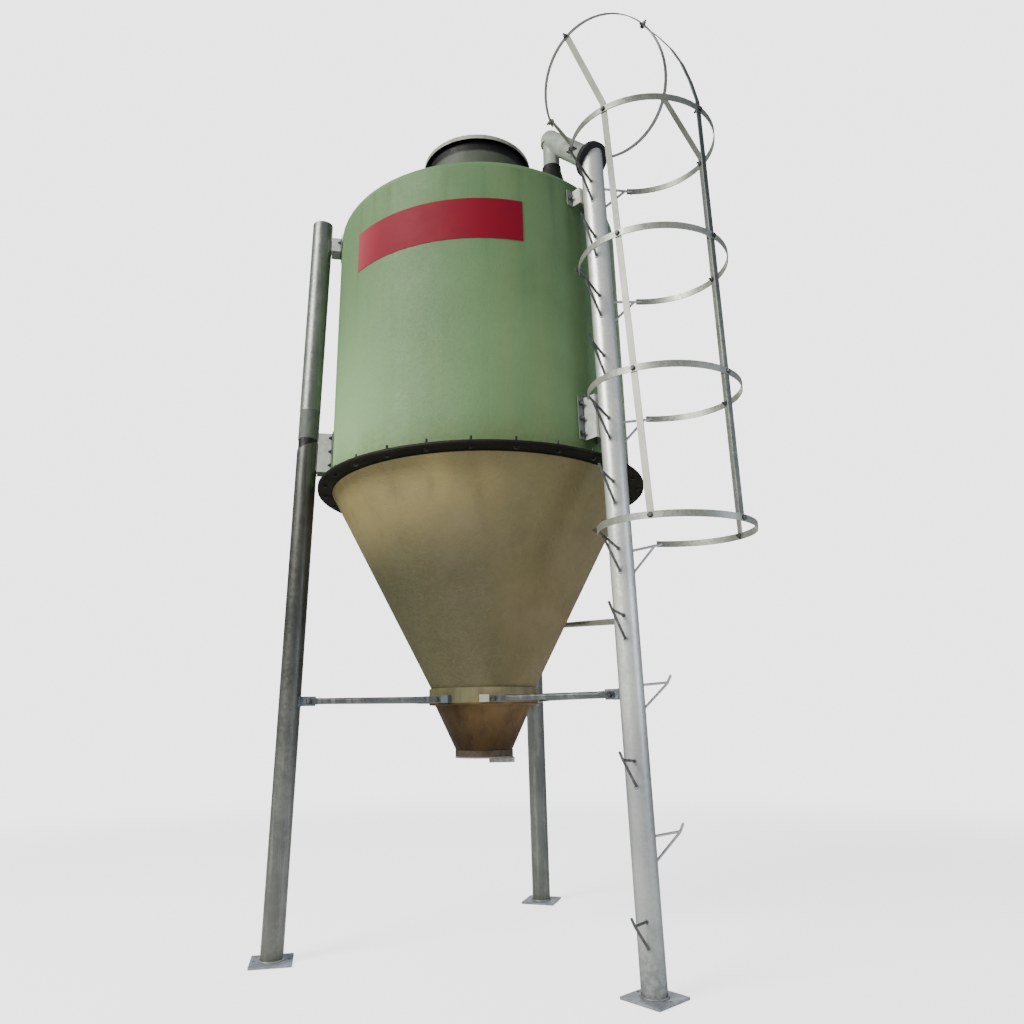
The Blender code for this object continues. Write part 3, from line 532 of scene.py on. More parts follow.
def makeLid():  # light on top and on the skirt, with painted shade that makes it black inside and below
    material, shader, place = newFinish("lidLaminate", Specular_IOR_Level=0.4)
    low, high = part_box("lid")
    marks = placeGroup(runs, Vector=place, Scale=16.0, Stretch=0.2, Cover=0.7)["Mask"]
    blotch = remap(noise(place, 6.0, 4.0), 0.35, 0.7)
    dirty = times(plus(marks, blotch), 0.45)
    colour = mixColour(dirty, lidShell["grey"], lidShell["dirt"])
    facing = addNode(material.node_tree, "ShaderNodeNewGeometry").outputs["Normal"]
    down = remap(heightOf(facing), -0.6, -0.3, 1.0, 0.0)
    skirt = (high.x - low.x) / 2
    inner = remap(radiusOf(place), skirt - 0.005, skirt - 0.003, 1.0, 0.0)
    below = remap(heightOf(place), high.z - 0.02, high.z - 0.0205)
    shadedUnder = maths("MAXIMUM", down, times(inner, below))
    feed(shader, "Base Color", mixColour(shadedUnder, colour, lidShell["under"]))
    feed(shader, "Roughness", remap(blotch, 0.0, 1.0, 0.45, 0.65))
    roughen(shader, noise(place, 40.0, 4.0), 0.0012)
    return material


zincWearAndShade = {"runs": srgb(196, 198, 190), "dirt": srgb(96, 98, 88), "edge": (0.42, 0.46, 0.46)}


def makeZinc(name, light, dark, gloss, scale, grimeTop=None, tone=None, metal=0.6, edge=0.0):
    material, shader, place = newFinish(name, Specular_IOR_Level=0.5)
    zinc = placeGroup(spangle, Vector=place, Scale=scale)
    shade = plus(times(zinc["Shade"], 0.6), times(zinc["Cloud"], 0.4))
    colour = mixColour(remap(shade, 0.2, 0.8), dark, light)
    marks = placeGroup(runs, Vector=place, Scale=34.0, Stretch=0.03, Cover=0.5)["Mask"]
    colour = mixColour(times(marks, 0.18), colour, zincWearAndShade["runs"])
    if grimeTop is not None:
        dirt = placeGroup(grime, Vector=place, Low=0.0, High=grimeTop, Scale=8.0)["Mask"]
        colour = mixColour(times(dirt, 0.6), colour, zincWearAndShade["dirt"])
    if tone is not None:
        low, high, tint = tone
        colour = tinted(colour, remap(heightOf(place), low, high), tint)
    # painted shade: the surface darkens where it is seen edge on
    if edge:
        facing = addNode(material.node_tree, "ShaderNodeLayerWeight").outputs["Facing"]
        colour = tinted(colour, remap(facing, 0.25, 0.9, 0.0, edge), zincWearAndShade["edge"])
    feed(shader, "Base Color", colour)
    feed(shader, "Metallic", remap(zinc["Shade"], 0.2, 0.9, metal - 0.12, metal + 0.12))
    feed(shader, "Roughness", remap(zinc["Shade"], 0.2, 0.8, gloss, gloss + 0.16))
    roughen(shader, zinc["Height"], 0.0003)
    return material


def makePaint(name, main, worn, gloss, scale=30.0, spread=0.2):
    material, shader, place = newFinish(name, Specular_IOR_Level=0.4)
    blotch = remap(noise(place, scale, 5.0, 0.65), 0.4, 0.66)
    colour = mixColour(blotch, main, worn)
    marks = placeGroup(runs, Vector=place, Scale=scale, Stretch=0.1, Cover=0.4)["Mask"]
    feed(shader, "Base Color", mixColour(times(marks, 0.4), colour, worn))
    feed(shader, "Roughness", remap(blotch, 0.0, 1.0, gloss, gloss + spread))
    roughen(shader, noise(place, scale * 4, 4.0), 0.0005)
    return material


collarShell = {
    "colours": (srgb(122, 112, 80), srgb(134, 124, 92), srgb(98, 90, 62)),
    "leftShade": (0.46, 0.54, 0.42),
    "lugFace": 0.3018,
    "shadedLeftLugs": srgb(98, 106, 112),
    "litRightLugs": srgb(178, 183, 168),
}


def makeCollar():  # the steel lugs stand out from the laminate, with painted shade on its left side and on the left lugs, and painted light on the right lugs
    material = makeLaminate("collarLaminate", collarShell["colours"], 0.5, leftShade=collarShell["leftShade"])
    shader, place, colour = reopened(material)
    place = centred(place)
    face = collarShell["lugFace"]
    onLug = remap(radiusOf(place), face, face + 0.0005)
    side = remap(acrossOf(place), -0.12, -0.08)
    steel = mixColour(side, collarShell["shadedLeftLugs"], collarShell["litRightLugs"])
    feed(shader, "Base Color", mixColour(onLug, colour, steel))
    feed(shader, "Metallic", times(onLug, 0.5))
    return material


hopperShell = {
    "colours": (srgb(108, 84, 50), srgb(122, 96, 62), srgb(62, 48, 28)),
    "leftShade": (0.32, 0.29, 0.16),
    "low": 1.06,
    "high": 1.26,
    "tint": (0.36, 0.31, 0.18),
}


def makeHopper():  # brown laminate, darker towards its foot, with painted shade on its left side
    colours, leftShade = hopperShell["colours"], hopperShell["leftShade"]
    material = makeLaminate("brownLaminate", colours, 0.55, 16.0, 0.45, leftShade)
    shader, place, colour = reopened(material)
    low = remap(heightOf(place), hopperShell["low"], hopperShell["high"], 1.0, 0.0)
    feed(shader, "Base Color", tinted(colour, low, hopperShell["tint"]))
    feed(shader, "Specular IOR Level", 0.22)
    return material


outletShell = {
    "main": srgb(70, 60, 46),
    "worn": srgb(54, 44, 32),
    "lip": srgb(126, 118, 106),
    "lipHeight": 0.006,
}


def makeOutlet():  # brown with dust, and lighter along its lower edge
    material = makePaint("outletPaint", outletShell["main"], outletShell["worn"], 0.55)
    shader, place, colour = reopened(material)
    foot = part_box("outlet_ring")[0].z + outletShell["lipHeight"]
    lip = remap(heightOf(place), foot, foot + 0.004, 1.0, 0.0)
    feed(shader, "Base Color", mixColour(lip, colour, outletShell["lip"]))
    return material


sleeveShell = {
    "main": srgb(82, 86, 84),
    "worn": srgb(96, 99, 96),
    "shadow": 2.735,
    "black": srgb(12, 13, 13),
}


def makeSleeve():  # joins the left leg's parts; painted shadow makes it black where it goes down into the lower one
    material = makePaint("sleevePaint", sleeveShell["main"], sleeveShell["worn"], 0.55, 22.0)
    shader, place, colour = reopened(material)
    shadow = sleeveShell["shadow"]
    low = remap(heightOf(place), shadow - 0.006, shadow, 1.0, 0.0)
    feed(shader, "Base Color", mixColour(low, colour, sleeveShell["black"]))
    return material


bracketShell = {
    "light": srgb(206, 210, 202),
    "dark": srgb(182, 186, 180),
    "taper": 0.02442,
    "face": 0.9208,
    "flange": (0.36, 0.40, 0.42),
}


def makeBracket():  # the flanges against the body get painted shade, darker than the web
    light, dark, face = (bracketShell[key] for key in ("light", "dark", "face"))
    material = makeZinc("bracketZinc", light, dark, 0.36, 60.0, metal=0.3)
    shader, place, colour = reopened(material)
    place = centred(place)
    leant = times(heightOf(place), bracketShell["taper"])
    reach = plus(radiusOf(place), leant)
    flange = remap(reach, face, face + 0.001, 1.0, 0.0)
    feed(shader, "Base Color", tinted(colour, flange, bracketShell["flange"]))
    return material


panelFilm = {"red": srgb(122, 3, 30), "worn": srgb(116, 7, 34), "edgeSheen": srgb(184, 96, 106)}


def makePanelFilm():  # plain red film, with a painted sheen that makes it paler where it is seen edge on
    material = makePaint("panelFilm", panelFilm["red"], panelFilm["worn"], 0.62, 5.0, 0.04)
    shader, _, colour = reopened(material)
    facing = addNode(material.node_tree, "ShaderNodeLayerWeight").outputs["Facing"]
    edgeOn = remap(facing, 0.36, 0.85, 0.0, 0.9)
    feed(shader, "Base Color", mixColour(edgeOn, colour, panelFilm["edgeSheen"]))
    feed(shader, "Specular IOR Level", 0.2)
    return material


finishes = {
    "bodyGreen": makeGreen("bodyGreen", rimSeam, wallHeadHeight),
    "roofGreen": makeGreen("roofGreen", wallHeadHeight - 0.35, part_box("roof")[1].z),
    "olive": makeOlive(),
    "collar": makeCollar(),
    "brown": makeHopper(),
    "neck": makeNeck(),
    "lid": makeLid(),
    "outlet": makeOutlet(),
    "slide": makePaint("slidePaint", srgb(180, 176, 168), srgb(146, 140, 130), 0.5),
    "bracket": makeBracket(),
    "sleeve": makeSleeve(),
    "pipe": makePaint("pipePlastic", srgb(160, 168, 158), srgb(132, 140, 130), 0.4, 14.0),
    "rubber": makePaint("blackRubber", srgb(16, 17, 18), srgb(30, 31, 31), 0.6, 40.0),
    "panel": makePanelFilm(),
}

# The three legs, the hoop strips, the left and right step rods and the rim bolts are lit and
# shaded copies of one zinc: their colours differ by painted light and shade
# Light and dark colour, roughness and the crystals' scale
zincs = {
    "leg": ((236, 236, 228), (216, 218, 214), 0.3, 70.0),
    "leftLeg": ((126, 131, 123), (108, 113, 109), 0.32, 70.0),
    "leftLegLow": ((120, 122, 117), (99, 101, 97), 0.36, 70.0),
    "rearLeg": ((108, 112, 107), (94, 98, 93), 0.5, 70.0),
    "footPlate": ((180, 186, 200), (146, 152, 164), 0.42, 60.0),
    "strip": ((168, 171, 160), (142, 146, 137), 0.36, 110.0),
    "nearStrip": ((200, 200, 186), (180, 181, 168), 0.5, 110.0),
    "outerStrip": ((140, 144, 136), (112, 117, 112), 0.36, 110.0),
    "shadedRod": ((100, 104, 100), (70, 74, 72), 0.42, 130.0),
    "litRod": ((208, 206, 202), (176, 174, 172), 0.42, 130.0),
    "brace": ((132, 140, 148), (96, 104, 112), 0.34, 110.0),
    "strut": ((98, 102, 103), (82, 86, 88), 0.34, 60.0),
    "bolt": ((92, 94, 94), (50, 52, 54), 0.4, 260.0),
    "shadedRimBolt": ((48, 48, 44), (26, 26, 24), 0.5, 260.0),
    "weld": ((168, 172, 168), (130, 134, 132), 0.45, 160.0),
}
# A tone begins at its first height and is full at its second
zincExtras = {
    "leg": {"grimeTop": 0.4, "tone": (1.4, 0.8, (0.56, 0.58, 0.6)), "metal": 0.45, "edge": 1.0},
    "leftLeg": {"edge": 0.4},
    # painted shade darkens the left leg's lower part above 0.9 m
    "leftLegLow": {"grimeTop": 0.4, "tone": (0.9, 1.7, (0.5, 0.5, 0.48)), "edge": 0.5},
    "rearLeg": {"grimeTop": 0.3, "metal": 0.35},
    "footPlate": {"grimeTop": 0.05, "metal": 0.4},
    # painted shade darkens the cage strips higher up
    "strip": {"tone": (3.3, 4.2, (0.58, 0.60, 0.59))},
    "nearStrip": {"tone": (3.0, 3.7, (0.5, 0.51, 0.53)), "metal": 0.3},
    "outerStrip": {"tone": (2.6, 3.8, (0.42, 0.47, 0.52))},
    "strut": {"edge": 0.3},
}
for key, (light, dark, *grain) in zincs.items():
    extras = zincExtras.get(key, {})
    finishes[key] = makeZinc(key + "Zinc", srgb(*light), srgb(*dark), *grain, **extras)

cadFinishes = {
    "body_cylinder": "bodyGreen",
    "roof": "roofGreen",
    "upper_cone": "olive",
    "cone_collar": "collar",
    "lower_cone": "brown",
    "lid_neck": "neck",
    "lid": "lid",
    "outlet_ring": "outlet",
    "outlet_slide": "slide",
    "ladder_leg": "leg",
    "rear_leg": "rearLeg",
    "left_leg_lower": "leftLegLow",
    "left_leg_upper": "leftLeg",
    "left_leg_spigot": "sleeve",
    "head_flange": "rubber",
    "head_pipe": "pipe",
    "side_tie": "strip",
    "cage_bar_near": "nearStrip",
    "cage_bar_outer": "outerStrip",
}
finishByEnding = (
    ("_foot_plate", "footPlate"),
    ("_bracket", "bracket"),
    ("_ears", "brace"),
    ("_strut_a", "brace"),
    ("_strut_b", "brace"),
)


def finishOf(node):
    if node in cadFinishes:
        return cadFinishes[node]
    if node.startswith("cage_"):
        return "strip"
    if node.startswith("step_"):
        return "litRod" if node.endswith("_right") else "shadedRod"
    return next(finish for ending, finish in finishByEnding if node.endswith(ending))


# The frame's triangles come apart and flat: a weld joins them, and sharper edges stay crisp
smoothing = {"weld": 0.00002, "step": 50, "panel": 40, "other": 32}


def soften(item, degrees):
    item.data.shade_smooth()
    crease = item.modifiers.new("crease", "EDGE_SPLIT")
    crease.split_angle = math.radians(degrees)
    crease.use_edge_sharp = False


for nodeName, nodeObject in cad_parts.items():
    shell = nodeObject.data
    shell.materials.clear()
    shell.materials.append(finishes[finishOf(nodeName)])
    shell.attributes.remove(shell.attributes["custom_normal"])
    nodeObject.modifiers.new("weld", "WELD").merge_threshold = smoothing["weld"]
    soften(nodeObject, smoothing["step" if nodeName.startswith("step_") else "other"])
print("finishes made and laid on the frame")


# Geometry Nodes: bolts on points, and weld beads along lines


def geometryTree(name, inputs):  # it takes a mesh, the numbers named and a finish
    tree = bpy.data.node_groups.new(name, "GeometryNodeTree")
    tree.interface.new_socket("Geometry", in_out="INPUT", socket_type="NodeSocketGeometry")
    for label, value in inputs.items():
        kind = "NodeSocketInt" if isinstance(value, int) else "NodeSocketFloat"
        socket = tree.interface.new_socket(label, in_out="INPUT", socket_type=kind)
        socket.default_value = value
    tree.interface.new_socket("Finish", in_out="INPUT", socket_type="NodeSocketMaterial")
    tree.interface.new_socket("Geometry", in_out="OUTPUT", socket_type="NodeSocketGeometry")
    return tree, addNode(tree, "NodeGroupInput").outputs, addNode(tree, "NodeGroupOutput")


def finished(geometry, given, put):
    real = fed("GeometryNodeRealizeInstances", {0: geometry})[0]
    coat = {"Geometry": real, "Material": given["Finish"]}
    feed(put, 0, fed("GeometryNodeSetMaterial", coat)[0])


def lifted(geometry, height):
    offset = fed("ShaderNodeCombineXYZ", {2: height})[0]
    move = {"Geometry": geometry, "Translation": offset}
    return fed("GeometryNodeTransform", move)[0]


def roundBar(sides, radius, depth):
    sizes = {"Vertices": sides, "Radius": radius, "Depth": depth}
    return fed("GeometryNodeMeshCylinder", sizes, fill_type="NGON")["Mesh"]


boltSizes = {
    "Head Radius": 0.0095,
    "Head Height": 0.0065,
    "Washer Radius": 0.0115,
    "Washer Height": 0.0018,
    "Thread Radius": 0.005,
    "Thread Length": 0.02,
    "Seed": 3,
}
boltSides = {"washer": 14, "head": 6, "crown": 12, "thread": 10}


def makeBoltTree():  # washer, six-sided head with a bevelled crown, and a threaded end
    tree, given, put = geometryTree("boltsOnPoints", boltSizes)
    headRadius, headHeight = given["Head Radius"], given["Head Height"]
    washerHeight, threadLength = given["Washer Height"], given["Thread Length"]
    washer = roundBar(boltSides["washer"], given["Washer Radius"], washerHeight)
    head = roundBar(boltSides["head"], headRadius, headHeight)
    thread = roundBar(boltSides["thread"], given["Thread Radius"], threadLength)
    cone = {
        "Vertices": boltSides["crown"],
        "Radius Bottom": times(headRadius, 0.86),
        "Radius Top": times(headRadius, 0.7),
        "Depth": times(headHeight, 0.16),
    }
    crown = fed("GeometryNodeMeshCone", cone, fill_type="NGON")["Mesh"]
    parts = (
        (washer, times(washerHeight, 0.5)),
        (head, plus(washerHeight, times(headHeight, 0.5))),
        (crown, plus(washerHeight, headHeight)),
        (thread, times(threadLength, 0.5)),
    )
    joined = addNode(tree, "GeometryNodeJoinGeometry")
    for geometry, height in parts:
        tree.links.new(lifted(geometry, height), joined.inputs[0])
    facing = addNode(tree, "GeometryNodeInputNamedAttribute", data_type="FLOAT_VECTOR")
    feed(facing, "Name", "facing")
    aimed = {"Vector": facing.outputs[0]}
    align = fed("FunctionNodeAlignRotationToVector", aimed, axis="Z")[0]
    points = fed("GeometryNodeMeshToPoints", {0: given["Geometry"]})[0]
    placing = {"Points": points, "Instance": joined.outputs[0], "Rotation": align}
    instances = fed("GeometryNodeInstanceOnPoints", placing)[0]
    drawn = {"Seed": given["Seed"], 3: math.tau}
    spin = fed("FunctionNodeRandomValue", drawn, data_type="FLOAT")[1]
    turn = fed("ShaderNodeCombineXYZ", {2: spin})[0]
    turning = {"Instances": instances, "Rotation": turn}
    finished(fed("GeometryNodeRotateInstances", turning)[0], given, put)
    return tree


beadSizes = {"Bead Radius": 0.004, "Ripple": 0.25, "Spacing": 0.004}
beadSides = 6


def makeBeadTree():  # a rippled bead of weld along each line of edges
    tree, given, put = geometryTree("weldBeads", beadSizes)
    line = fed("GeometryNodeMeshToCurve", {0: given["Geometry"]})[0]
    spacing = {"Curve": line, "Length": given["Spacing"]}
    even = fed("GeometryNodeResampleCurve", spacing, mode="LENGTH")[0]
    place = addNode(tree, "GeometryNodeInputPosition").outputs[0]
    grain = fed("ShaderNodeTexNoise", {"Vector": place, "Scale": 130.0, "Detail": 1.0})[0]
    swing = times(minus(grain, 0.5), given["Ripple"])
    width = {"Curve": even, "Radius": plus(1.0, times(swing, 2.0))}
    thick = fed("GeometryNodeSetCurveRadius", width)[0]
    ring = {"Resolution": beadSides, "Radius": given["Bead Radius"]}
    profile = fed("GeometryNodeCurvePrimitiveCircle", ring, mode="RADIUS")[0]
    sweep = {"Curve": thick, "Profile Curve": profile, "Fill Caps": True}
    bead = fed("GeometryNodeCurveToMesh", sweep)[0]
    finished(fed("GeometryNodeSetShadeSmooth", {0: bead})[0], given, put)
    return tree


def settled(name, mesh, tree, values):  # the tree's result as a plain mesh on the silo
    item = placed(name, mesh)
    modifier = item.modifiers.new(name, "NODES")
    modifier.node_group = tree
    sockets = [s for s in tree.interface.items_tree if s.item_type == "SOCKET"]
    identifiers = {s.name: s.identifier for s in sockets if s.in_out == "INPUT"}
    for label, value in values.items():
        modifier[identifiers[label]] = value
    bpy.context.view_layer.update()
    graph = bpy.context.evaluated_depsgraph_get()
    item.data = bpy.data.meshes.new_from_object(item.evaluated_get(graph))
    item.modifiers.clear()
    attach(item, "root")


boltTree = makeBoltTree()
beadTree = makeBeadTree()


def boltRow(name, places, values, finish="bolt"):
    mesh = bpy.data.meshes.new(name)
    mesh.from_pydata([point for point, _ in places], [], [])
    facing = mesh.attributes.new("facing", "FLOAT_VECTOR", "POINT")
    facing.data.foreach_set("vector", [part for _, way in places for part in way])
    settled(name, mesh, boltTree, {**values, "Finish": finishes[finish]})


def beads(name, lines, radius, closed=False):
    mesh = bpy.data.meshes.new(name)
    points = []
    edges = []
    for line in lines:
        first = len(points)
        points += line
        edges += [(first + i, first + i + 1) for i in range(len(line) - 1)]
        if closed:
            edges.append((len(points) - 1, first))
    mesh.from_pydata(points, edges, [])
    values = {"Bead Radius": radius, "Finish": finishes["weld"]}
    settled(name, mesh, beadTree, values)


def pointing(degrees):
    return Vector((math.cos(math.radians(degrees)), math.sin(math.radians(degrees)), 0))


def ringPoints(centre, facing, radius, count):
    side = facing.orthogonal().normalized()
    other = facing.cross(side).normalized()
    turns = [math.tau * i / count for i in range(count)]
    return [centre + (side * math.cos(turn) + other * math.sin(turn)) * radius for turn in turns]


def turned(vector, frameMatrix):
    return (frameMatrix.to_3x3() @ Vector(vector)).normalized()


# Bolts round the rim

rimBolts = {"count": 26, "circle": 0.036, "flange": 0.010, "start": 4.0}
rimSizes = {"Head Radius": 0.0105, "Washer Radius": 0.014, "Thread Radius": 0.006}


def makeRimBolts():
    radius = rimRadius - rimBolts["circle"]
    upper = rimSeam + rimBolts["flange"]
    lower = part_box("upper_cone")[1].z - rimBolts["flange"]
    nuts = []
    heads = []
    for number in range(rimBolts["count"]):
        turn = math.radians(rimBolts["start"]) + math.tau * number / rimBolts["count"]
        point = axis + Vector((math.cos(turn), math.sin(turn), 0)) * radius
        nuts.append((point + Vector((0, 0, upper)), (0, 0, 1)))
        heads.append((point + Vector((0, 0, lower)), (0, 0, -1)))
    nutSizes = {**rimSizes, "Head Height": 0.009, "Thread Length": 0.03}
    headSizes = {**rimSizes, "Head Height": 0.0075, "Thread Length": 0.008}
    boltRow("rim_nuts", nuts, nutSizes, "shadedRimBolt")
    boltRow("rim_bolt_heads", heads, headSizes, "shadedRimBolt")


makeRimBolts()


# Bolts of the ladder cage, through its strips

cage = {
    "stepBase": 0.055,
    "stepPitch": 0.3247,
    "levels": (6, 8, 10, 12),
    "radius": 0.346,
    "out": 0.3165,
    "droop": 2.5,
    "strip": 0.005,
    "nutGap": 0.002,
    "nearBar": {6: -71.1, 8: -74.7, 10: -78.2, 12: -81.8},
    "bars": (-2.5, 67.5),
    "stepNuts": (-136.8, 136.8),
    "endBar": -133.0,
    "topRadius": 0.330,
    "topOut": 0.1329,
    "topHeight": 4.416,
    "topTilt": 37.6,
    "topRoll": -14.0,
    "topBars": (-76.0, 0.0, 67.0, -147.0),
}
cageSizes = {"Head Radius": 0.010, "Washer Radius": 0.0125, "Thread Radius": 0.005}


def stepHeight(level):
    return cage["stepBase"] + cage["stepPitch"] * level


def hoopFrames():
    ladder = legFrame("ladder_leg")
    droop = Matrix.Rotation(math.radians(cage["droop"]), 4, "Y")
    for level in cage["levels"]:
        yield level, ladder @ Matrix.Translation((cage["out"], 0, stepHeight(level))) @ droop
    tilt = Matrix.Rotation(-math.radians(cage["topTilt"]), 4, "Y")
    roll = Matrix.Rotation(math.radians(cage["topRoll"]), 4, "X")
    yield 0, ladder @ Matrix.Translation((cage["topOut"], 0, cage["topHeight"])) @ tilt @ roll


def makeCageBolts():  # on the level hoops the heads are outside, on the tilted one the nuts
    heads = []
    nuts = []
    for level, hoop in hoopFrames():
        radius = cage["radius"] if level else cage["topRadius"]
        turns = (cage["nearBar"][level], *cage["bars"]) if level else cage["topBars"]
        if level == cage["levels"][-1]:
            turns = (*turns, cage["endBar"])
        outer = radius + cage["strip"] / 2
        inner = radius - cage["strip"] * 1.5 - cage["nutGap"]
        for way in map(pointing, turns):
            outside = (hoop @ (way * outer), turned(way, hoop))
            inside = (hoop @ (way * inner), turned(-way, hoop))
            heads.append(outside if level else inside)
            nuts.append(inside if level else outside)
        for way in map(pointing, cage["stepNuts"] if level else ()):
            nuts.append((hoop @ (way * outer), turned(way, hoop)))
    headSizes = {**cageSizes, "Head Height": 0.0065, "Thread Length": 0.007}
    nutSizes = {**cageSizes, "Head Height": 0.008, "Thread Length": 0.020}
    boltRow("cage_bolt_heads", heads, headSizes)
    boltRow("cage_nuts", nuts, nutSizes)


makeCageBolts()


# Bolts of the brackets, through their flanges into the body

brackets = {
    "halfWidth": 0.046,
    "flange": 0.038,
    "lowerHeights": (0.15, 0.5, 0.85),
    "upperHeights": (0.5,),
}
bracketSizes = {
    "Head Radius": 0.0105,
    "Head Height": 0.0085,
    "Washer Radius": 0.015,
    "Thread Radius": 0.006,
    "Thread Length": 0.019,
}


def bracketBox(name):  # its frame, its flanges' corners in that frame, and its two heights
    leg = name.rsplit("_", 2)[0]
    back = (Matrix.Translation(axis) @ Matrix.Rotation(legTurns[leg], 4, "Z")).inverted()
    corners = [back @ vertex.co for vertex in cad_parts[name].data.vertices]
    flanges = [c for c in corners if abs(c.y) > brackets["halfWidth"] + 0.001]
    return back.inverted(), flanges, min(c.z for c in corners), max(c.z for c in corners)


def makeBracketBolts():
    heads = []
    for leg in legNames:
        for kind in ("lower", "upper"):
            turn, flanges, low, high = bracketBox(f"{leg}_{kind}_bracket")
            lower = max(c.x for c in flanges if c.z < (low + high) / 2)
            upper = max(c.x for c in flanges if c.z > (low + high) / 2)
            for share in brackets[kind + "Heights"]:
                height = low + (high - low) * share
                face = lower + (upper - lower) * share
                for side in (-1, 1):
                    middle = side * (brackets["halfWidth"] + brackets["flange"] / 2)
                    heads.append((turn @ Vector((face, middle, height)), turned((1, 0, 0), turn)))
    boltRow("bracket_bolts", heads, bracketSizes)


makeBracketBolts()


# Welds: feet, bracket edges and the roots of the step irons

welds = {
    "footBead": 0.0055,
    "footLift": 0.002,
    "footReach": 0.0015,
    "bracketBead": 0.0032,
    "bracketInset": 0.02,
    "bracketEnd": 0.008,
    "stepBead": 0.0026,
    "stepRoot": 0.0084,
}
stepIrons = {
    "angle": 62.0,
    "hoopDrop": 0.042,
    "loneDrop": 0.012,
    "braceDrop": 0.111,
    "hang": {1: 0.045, 2: 0.030, 3: 0.025, 4: 0.013, 5: 0.021, 7: 0.026, 9: 0.028, 11: 0.024},
}


def makeWelds():
    rings = []
    lines = []
    across = brackets["halfWidth"] - welds["bracketInset"]
    reach = math.sqrt(legShape["radius"] ** 2 - across ** 2)
    for leg in legNames:
        pipe = legFrame(leg)
        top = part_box(leg + "_foot_plate")[1].z
        centre = pipe @ Vector((0, 0, top + welds["footLift"]))
        radius = legShape["radius"] + welds["footReach"]
        rings.append(ringPoints(centre, Vector((0, 0, 1)), radius, 48))
        for kind in ("lower", "upper"):
            _, _, low, high = bracketBox(f"{leg}_{kind}_bracket")
            heights = (low + welds["bracketEnd"], (low + high) / 2, high - welds["bracketEnd"])
            for side in (-across, across):
                lines.append([pipe @ Vector((-reach, side, height)) for height in heights])
    beads("foot_welds", rings, welds["footBead"], closed=True)
    beads("bracket_welds", lines, welds["bracketBead"])
    ladder = legFrame("ladder_leg")
    roots = []
    for nodeName in sorted(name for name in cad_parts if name.startswith("step_")):
        _, level, side = nodeName.split("_")
        way = pointing(stepIrons["angle"] * (1 if side == "right" else -1))
        hang = stepIrons["hang"].get(int(level))
        drop = stepIrons["hoopDrop"] if hang is None else hang + stepIrons["loneDrop"]
        root = stepHeight(int(level)) - drop
        for height in (root, root - stepIrons["braceDrop"]):
            point = ladder @ (way * legShape["radius"] + Vector((0, 0, height)))
            roots.append(ringPoints(point, turned(way, ladder), welds["stepRoot"], 10))
    beads("step_welds", roots, welds["stepBead"], closed=True)


makeWelds()


# Struts: tubes whose ends are beaten flat, beside an ear on the leg and a lug on the collar

struts = {
    "height": 1.290,
    "radius": 0.0155,
    "sides": 28,
    "flat": {"thickness": 0.0066, "height": 0.0345},
    "earEnd": {"past": 0.050, "aside": 0.0086, "length": 0.052, "taper": 0.040, "bolt": -0.030},
    "earNut": 0.005,
    "collarEnd": {"length": 0.072, "taper": 0.042, "bolt": 0.022},
    "corner": 0.006,
    "taperSteps": 6,
}
strutSizes = {"Head Radius": 0.011, "Washer Radius": 0.0145, "Thread Radius": 0.006}


def ringMiddle(points, near):  # the middle of the ring of vertices nearest to a point
    reach = min((point - near).length for point in points)
    ring = {point.to_tuple(5) for point in points if (point - near).length < reach + 0.02}
    return sum((Vector(point) for point in ring), Vector()) / len(ring)


def strutSection(share, roundness, aside, height):  # flat at roundness 0, and round at 1
    flat = struts["flat"]
    wide = flat["thickness"] / 2 + (struts["radius"] - flat["thickness"] / 2) * roundness
    tall = (flat["height"] / 2 + (struts["radius"] - flat["height"] / 2) * roundness) * height
    power = 2 / (6 - 4 * roundness)
    points = []
    for i in range(struts["sides"]):
        turn = math.tau * (i + 0.5) / struts["sides"]
        cosine, sine = math.cos(turn), math.sin(turn)
        across = math.copysign(abs(cosine) ** power, cosine) * wide + aside * (1 - roundness)
        points.append((share, across, math.copysign(abs(sine) ** power, sine) * tall))
    return points


def strutSections(length):
    ear, collar, corner = struts["earEnd"], struts["collarEnd"], struts["corner"]
    past, aside, steps = ear["past"], ear["aside"], struts["taperSteps"]
    neck = ear["length"] - past
    rows = [(-past, 0, aside, 0.66), (-past + corner * 0.4, 0, aside, 0.9)]
    rows += [(-past + corner, 0, aside, 1), (neck, 0, aside, 1)]
    for share in (i / steps for i in range(1, steps + 1)):
        rows.append((neck + ear["taper"] * share, share * share * (3 - 2 * share), aside, 1))
    for share in (i / steps for i in range(steps, -1, -1)):
        place = length - collar["length"] - collar["taper"] * share
        rows.append((place, share * share * (3 - 2 * share), 0, 1))
    rows += [(length - corner, 0, 0, 1), (length - corner * 0.4, 0, 0, 0.9), (length, 0, 0, 0.66)]
    return [strutSection(*row) for row in rows]


def strutMesh(name, start, along, outward, length):
    shape = bmesh.new()
    rings = []
    for section in strutSections(length):
        places = [start + along * s + outward * w + Vector((0, 0, h)) for s, w, h in section]
        rings.append([shape.verts.new(place) for place in places])
    for first, second in zip(rings, rings[1:]):
        for i in range(struts["sides"]):
            j = (i + 1) % struts["sides"]
            shape.faces.new((first[i], first[j], second[j], second[i])).smooth = True
    shape.faces.new(rings[0])
    shape.faces.new(rings[-1])
    bmesh.ops.recalc_face_normals(shape, faces=shape.faces)
    mesh = meshOf(name, shape)
    mesh.materials.append(finishes["strut"])
    return mesh


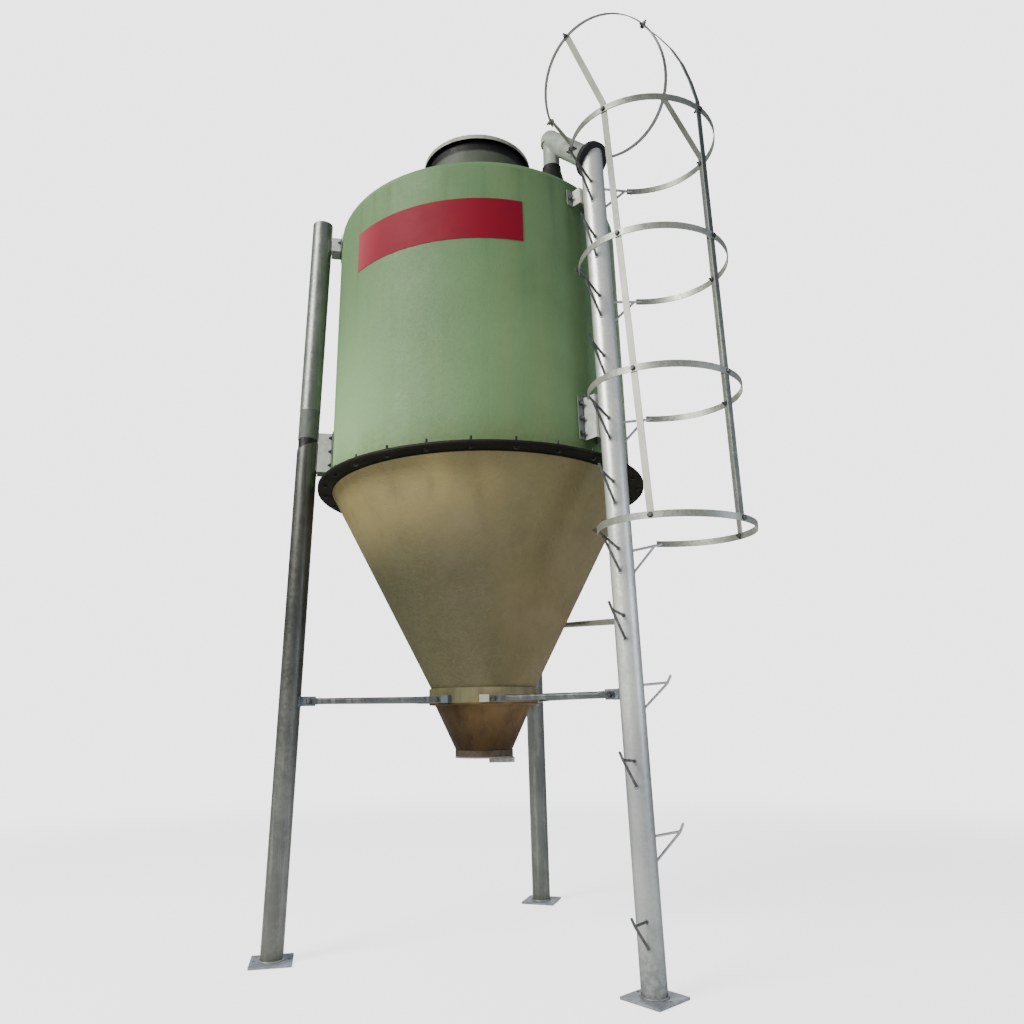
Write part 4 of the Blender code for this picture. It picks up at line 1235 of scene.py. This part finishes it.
def makeStruts():
    bolts = []
    nuts = []
    half = struts["flat"]["thickness"] / 2
    for leg in legNames:
        base = leg.replace("_leg", "")
        middle = legFrame(leg) @ Vector((0, 0, struts["height"]))
        for side in ("a", "b"):
            node = f"{base}_strut_{side}"
            points = [vertex.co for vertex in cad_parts[node].data.vertices]
            start = ringMiddle(points, middle)
            end = ringMiddle(points, start + (points[0] + points[-1] - start * 2) * 20)
            along = (end - start).normalized()
            outward = Vector((along.y, -along.x, 0))
            if outward.dot(end - axis) < 0:
                outward.negate()
            mesh = strutMesh(node + "_tube", start, along, outward, (end - start).length)
            tube = placed(node + "_tube", mesh)
            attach(tube, "root")
            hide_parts(node)
            ear = start + along * struts["earEnd"]["bolt"]
            bolts.append((ear + outward * (struts["earEnd"]["aside"] + half), outward))
            nuts.append((ear - outward * struts["earNut"], -outward))
            lug = end - along * struts["collarEnd"]["bolt"]
            bolts.append((lug + outward * half, outward))
            nuts.append((lug - outward * half, -outward))
    headSizes = {**strutSizes, "Head Height": 0.008, "Thread Length": 0.009}
    nutSizes = {**strutSizes, "Head Height": 0.009, "Thread Length": 0.016}
    boltRow("strut_bolts", bolts, headSizes)
    boltRow("strut_nuts", nuts, nutSizes)


makeStruts()


# The plain red panel on the body

panel = {
    "from": -141.5,
    "to": -74.0,
    "low": 3.552,
    "high": 3.775,
    "gap": 0.0006,
    "proud": 0.0012,
    "columns": 48,
    "rows": 6,
}


def wallRadius(height):
    spots = [vertex.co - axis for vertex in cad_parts["body_cylinder"].data.vertices]
    radii = [s.xy.length for s in spots if rimSeam + 0.009 < s.z < rimSeam + 0.012]
    foot = max(radius for radius in radii if radius < rimRadius - 0.01)
    flange = rimBolts["flange"]
    share = (height - rimSeam - flange) / (wallHeadHeight - rimSeam - flange)
    return foot + share * (wallHeadRadius - foot)


def makePanel():
    shape = bmesh.new()
    rows = []
    for row in range(panel["rows"] + 1):
        height = panel["low"] + (panel["high"] - panel["low"]) * row / panel["rows"]
        radius = wallRadius(height) + panel["gap"]
        corners = []
        for column in range(panel["columns"] + 1):
            degrees = panel["from"] + (panel["to"] - panel["from"]) * column / panel["columns"]
            turn = math.radians(degrees)
            place = Vector((radius * math.cos(turn), radius * math.sin(turn), height))
            corners.append(shape.verts.new(axis + place))
        rows.append(corners)
    for lower, upper in zip(rows, rows[1:]):
        for i in range(panel["columns"]):
            shape.faces.new((lower[i], lower[i + 1], upper[i + 1], upper[i]))
    mesh = meshOf("red_panel", shape)
    mesh.materials.append(finishes["panel"])
    item = placed("red_panel", mesh)
    thick = item.modifiers.new("thickness", "SOLIDIFY")
    thick.thickness = panel["proud"]
    thick.offset = 1
    soften(item, smoothing["panel"])
    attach(item, "root")


makePanel()
print("pieces made")
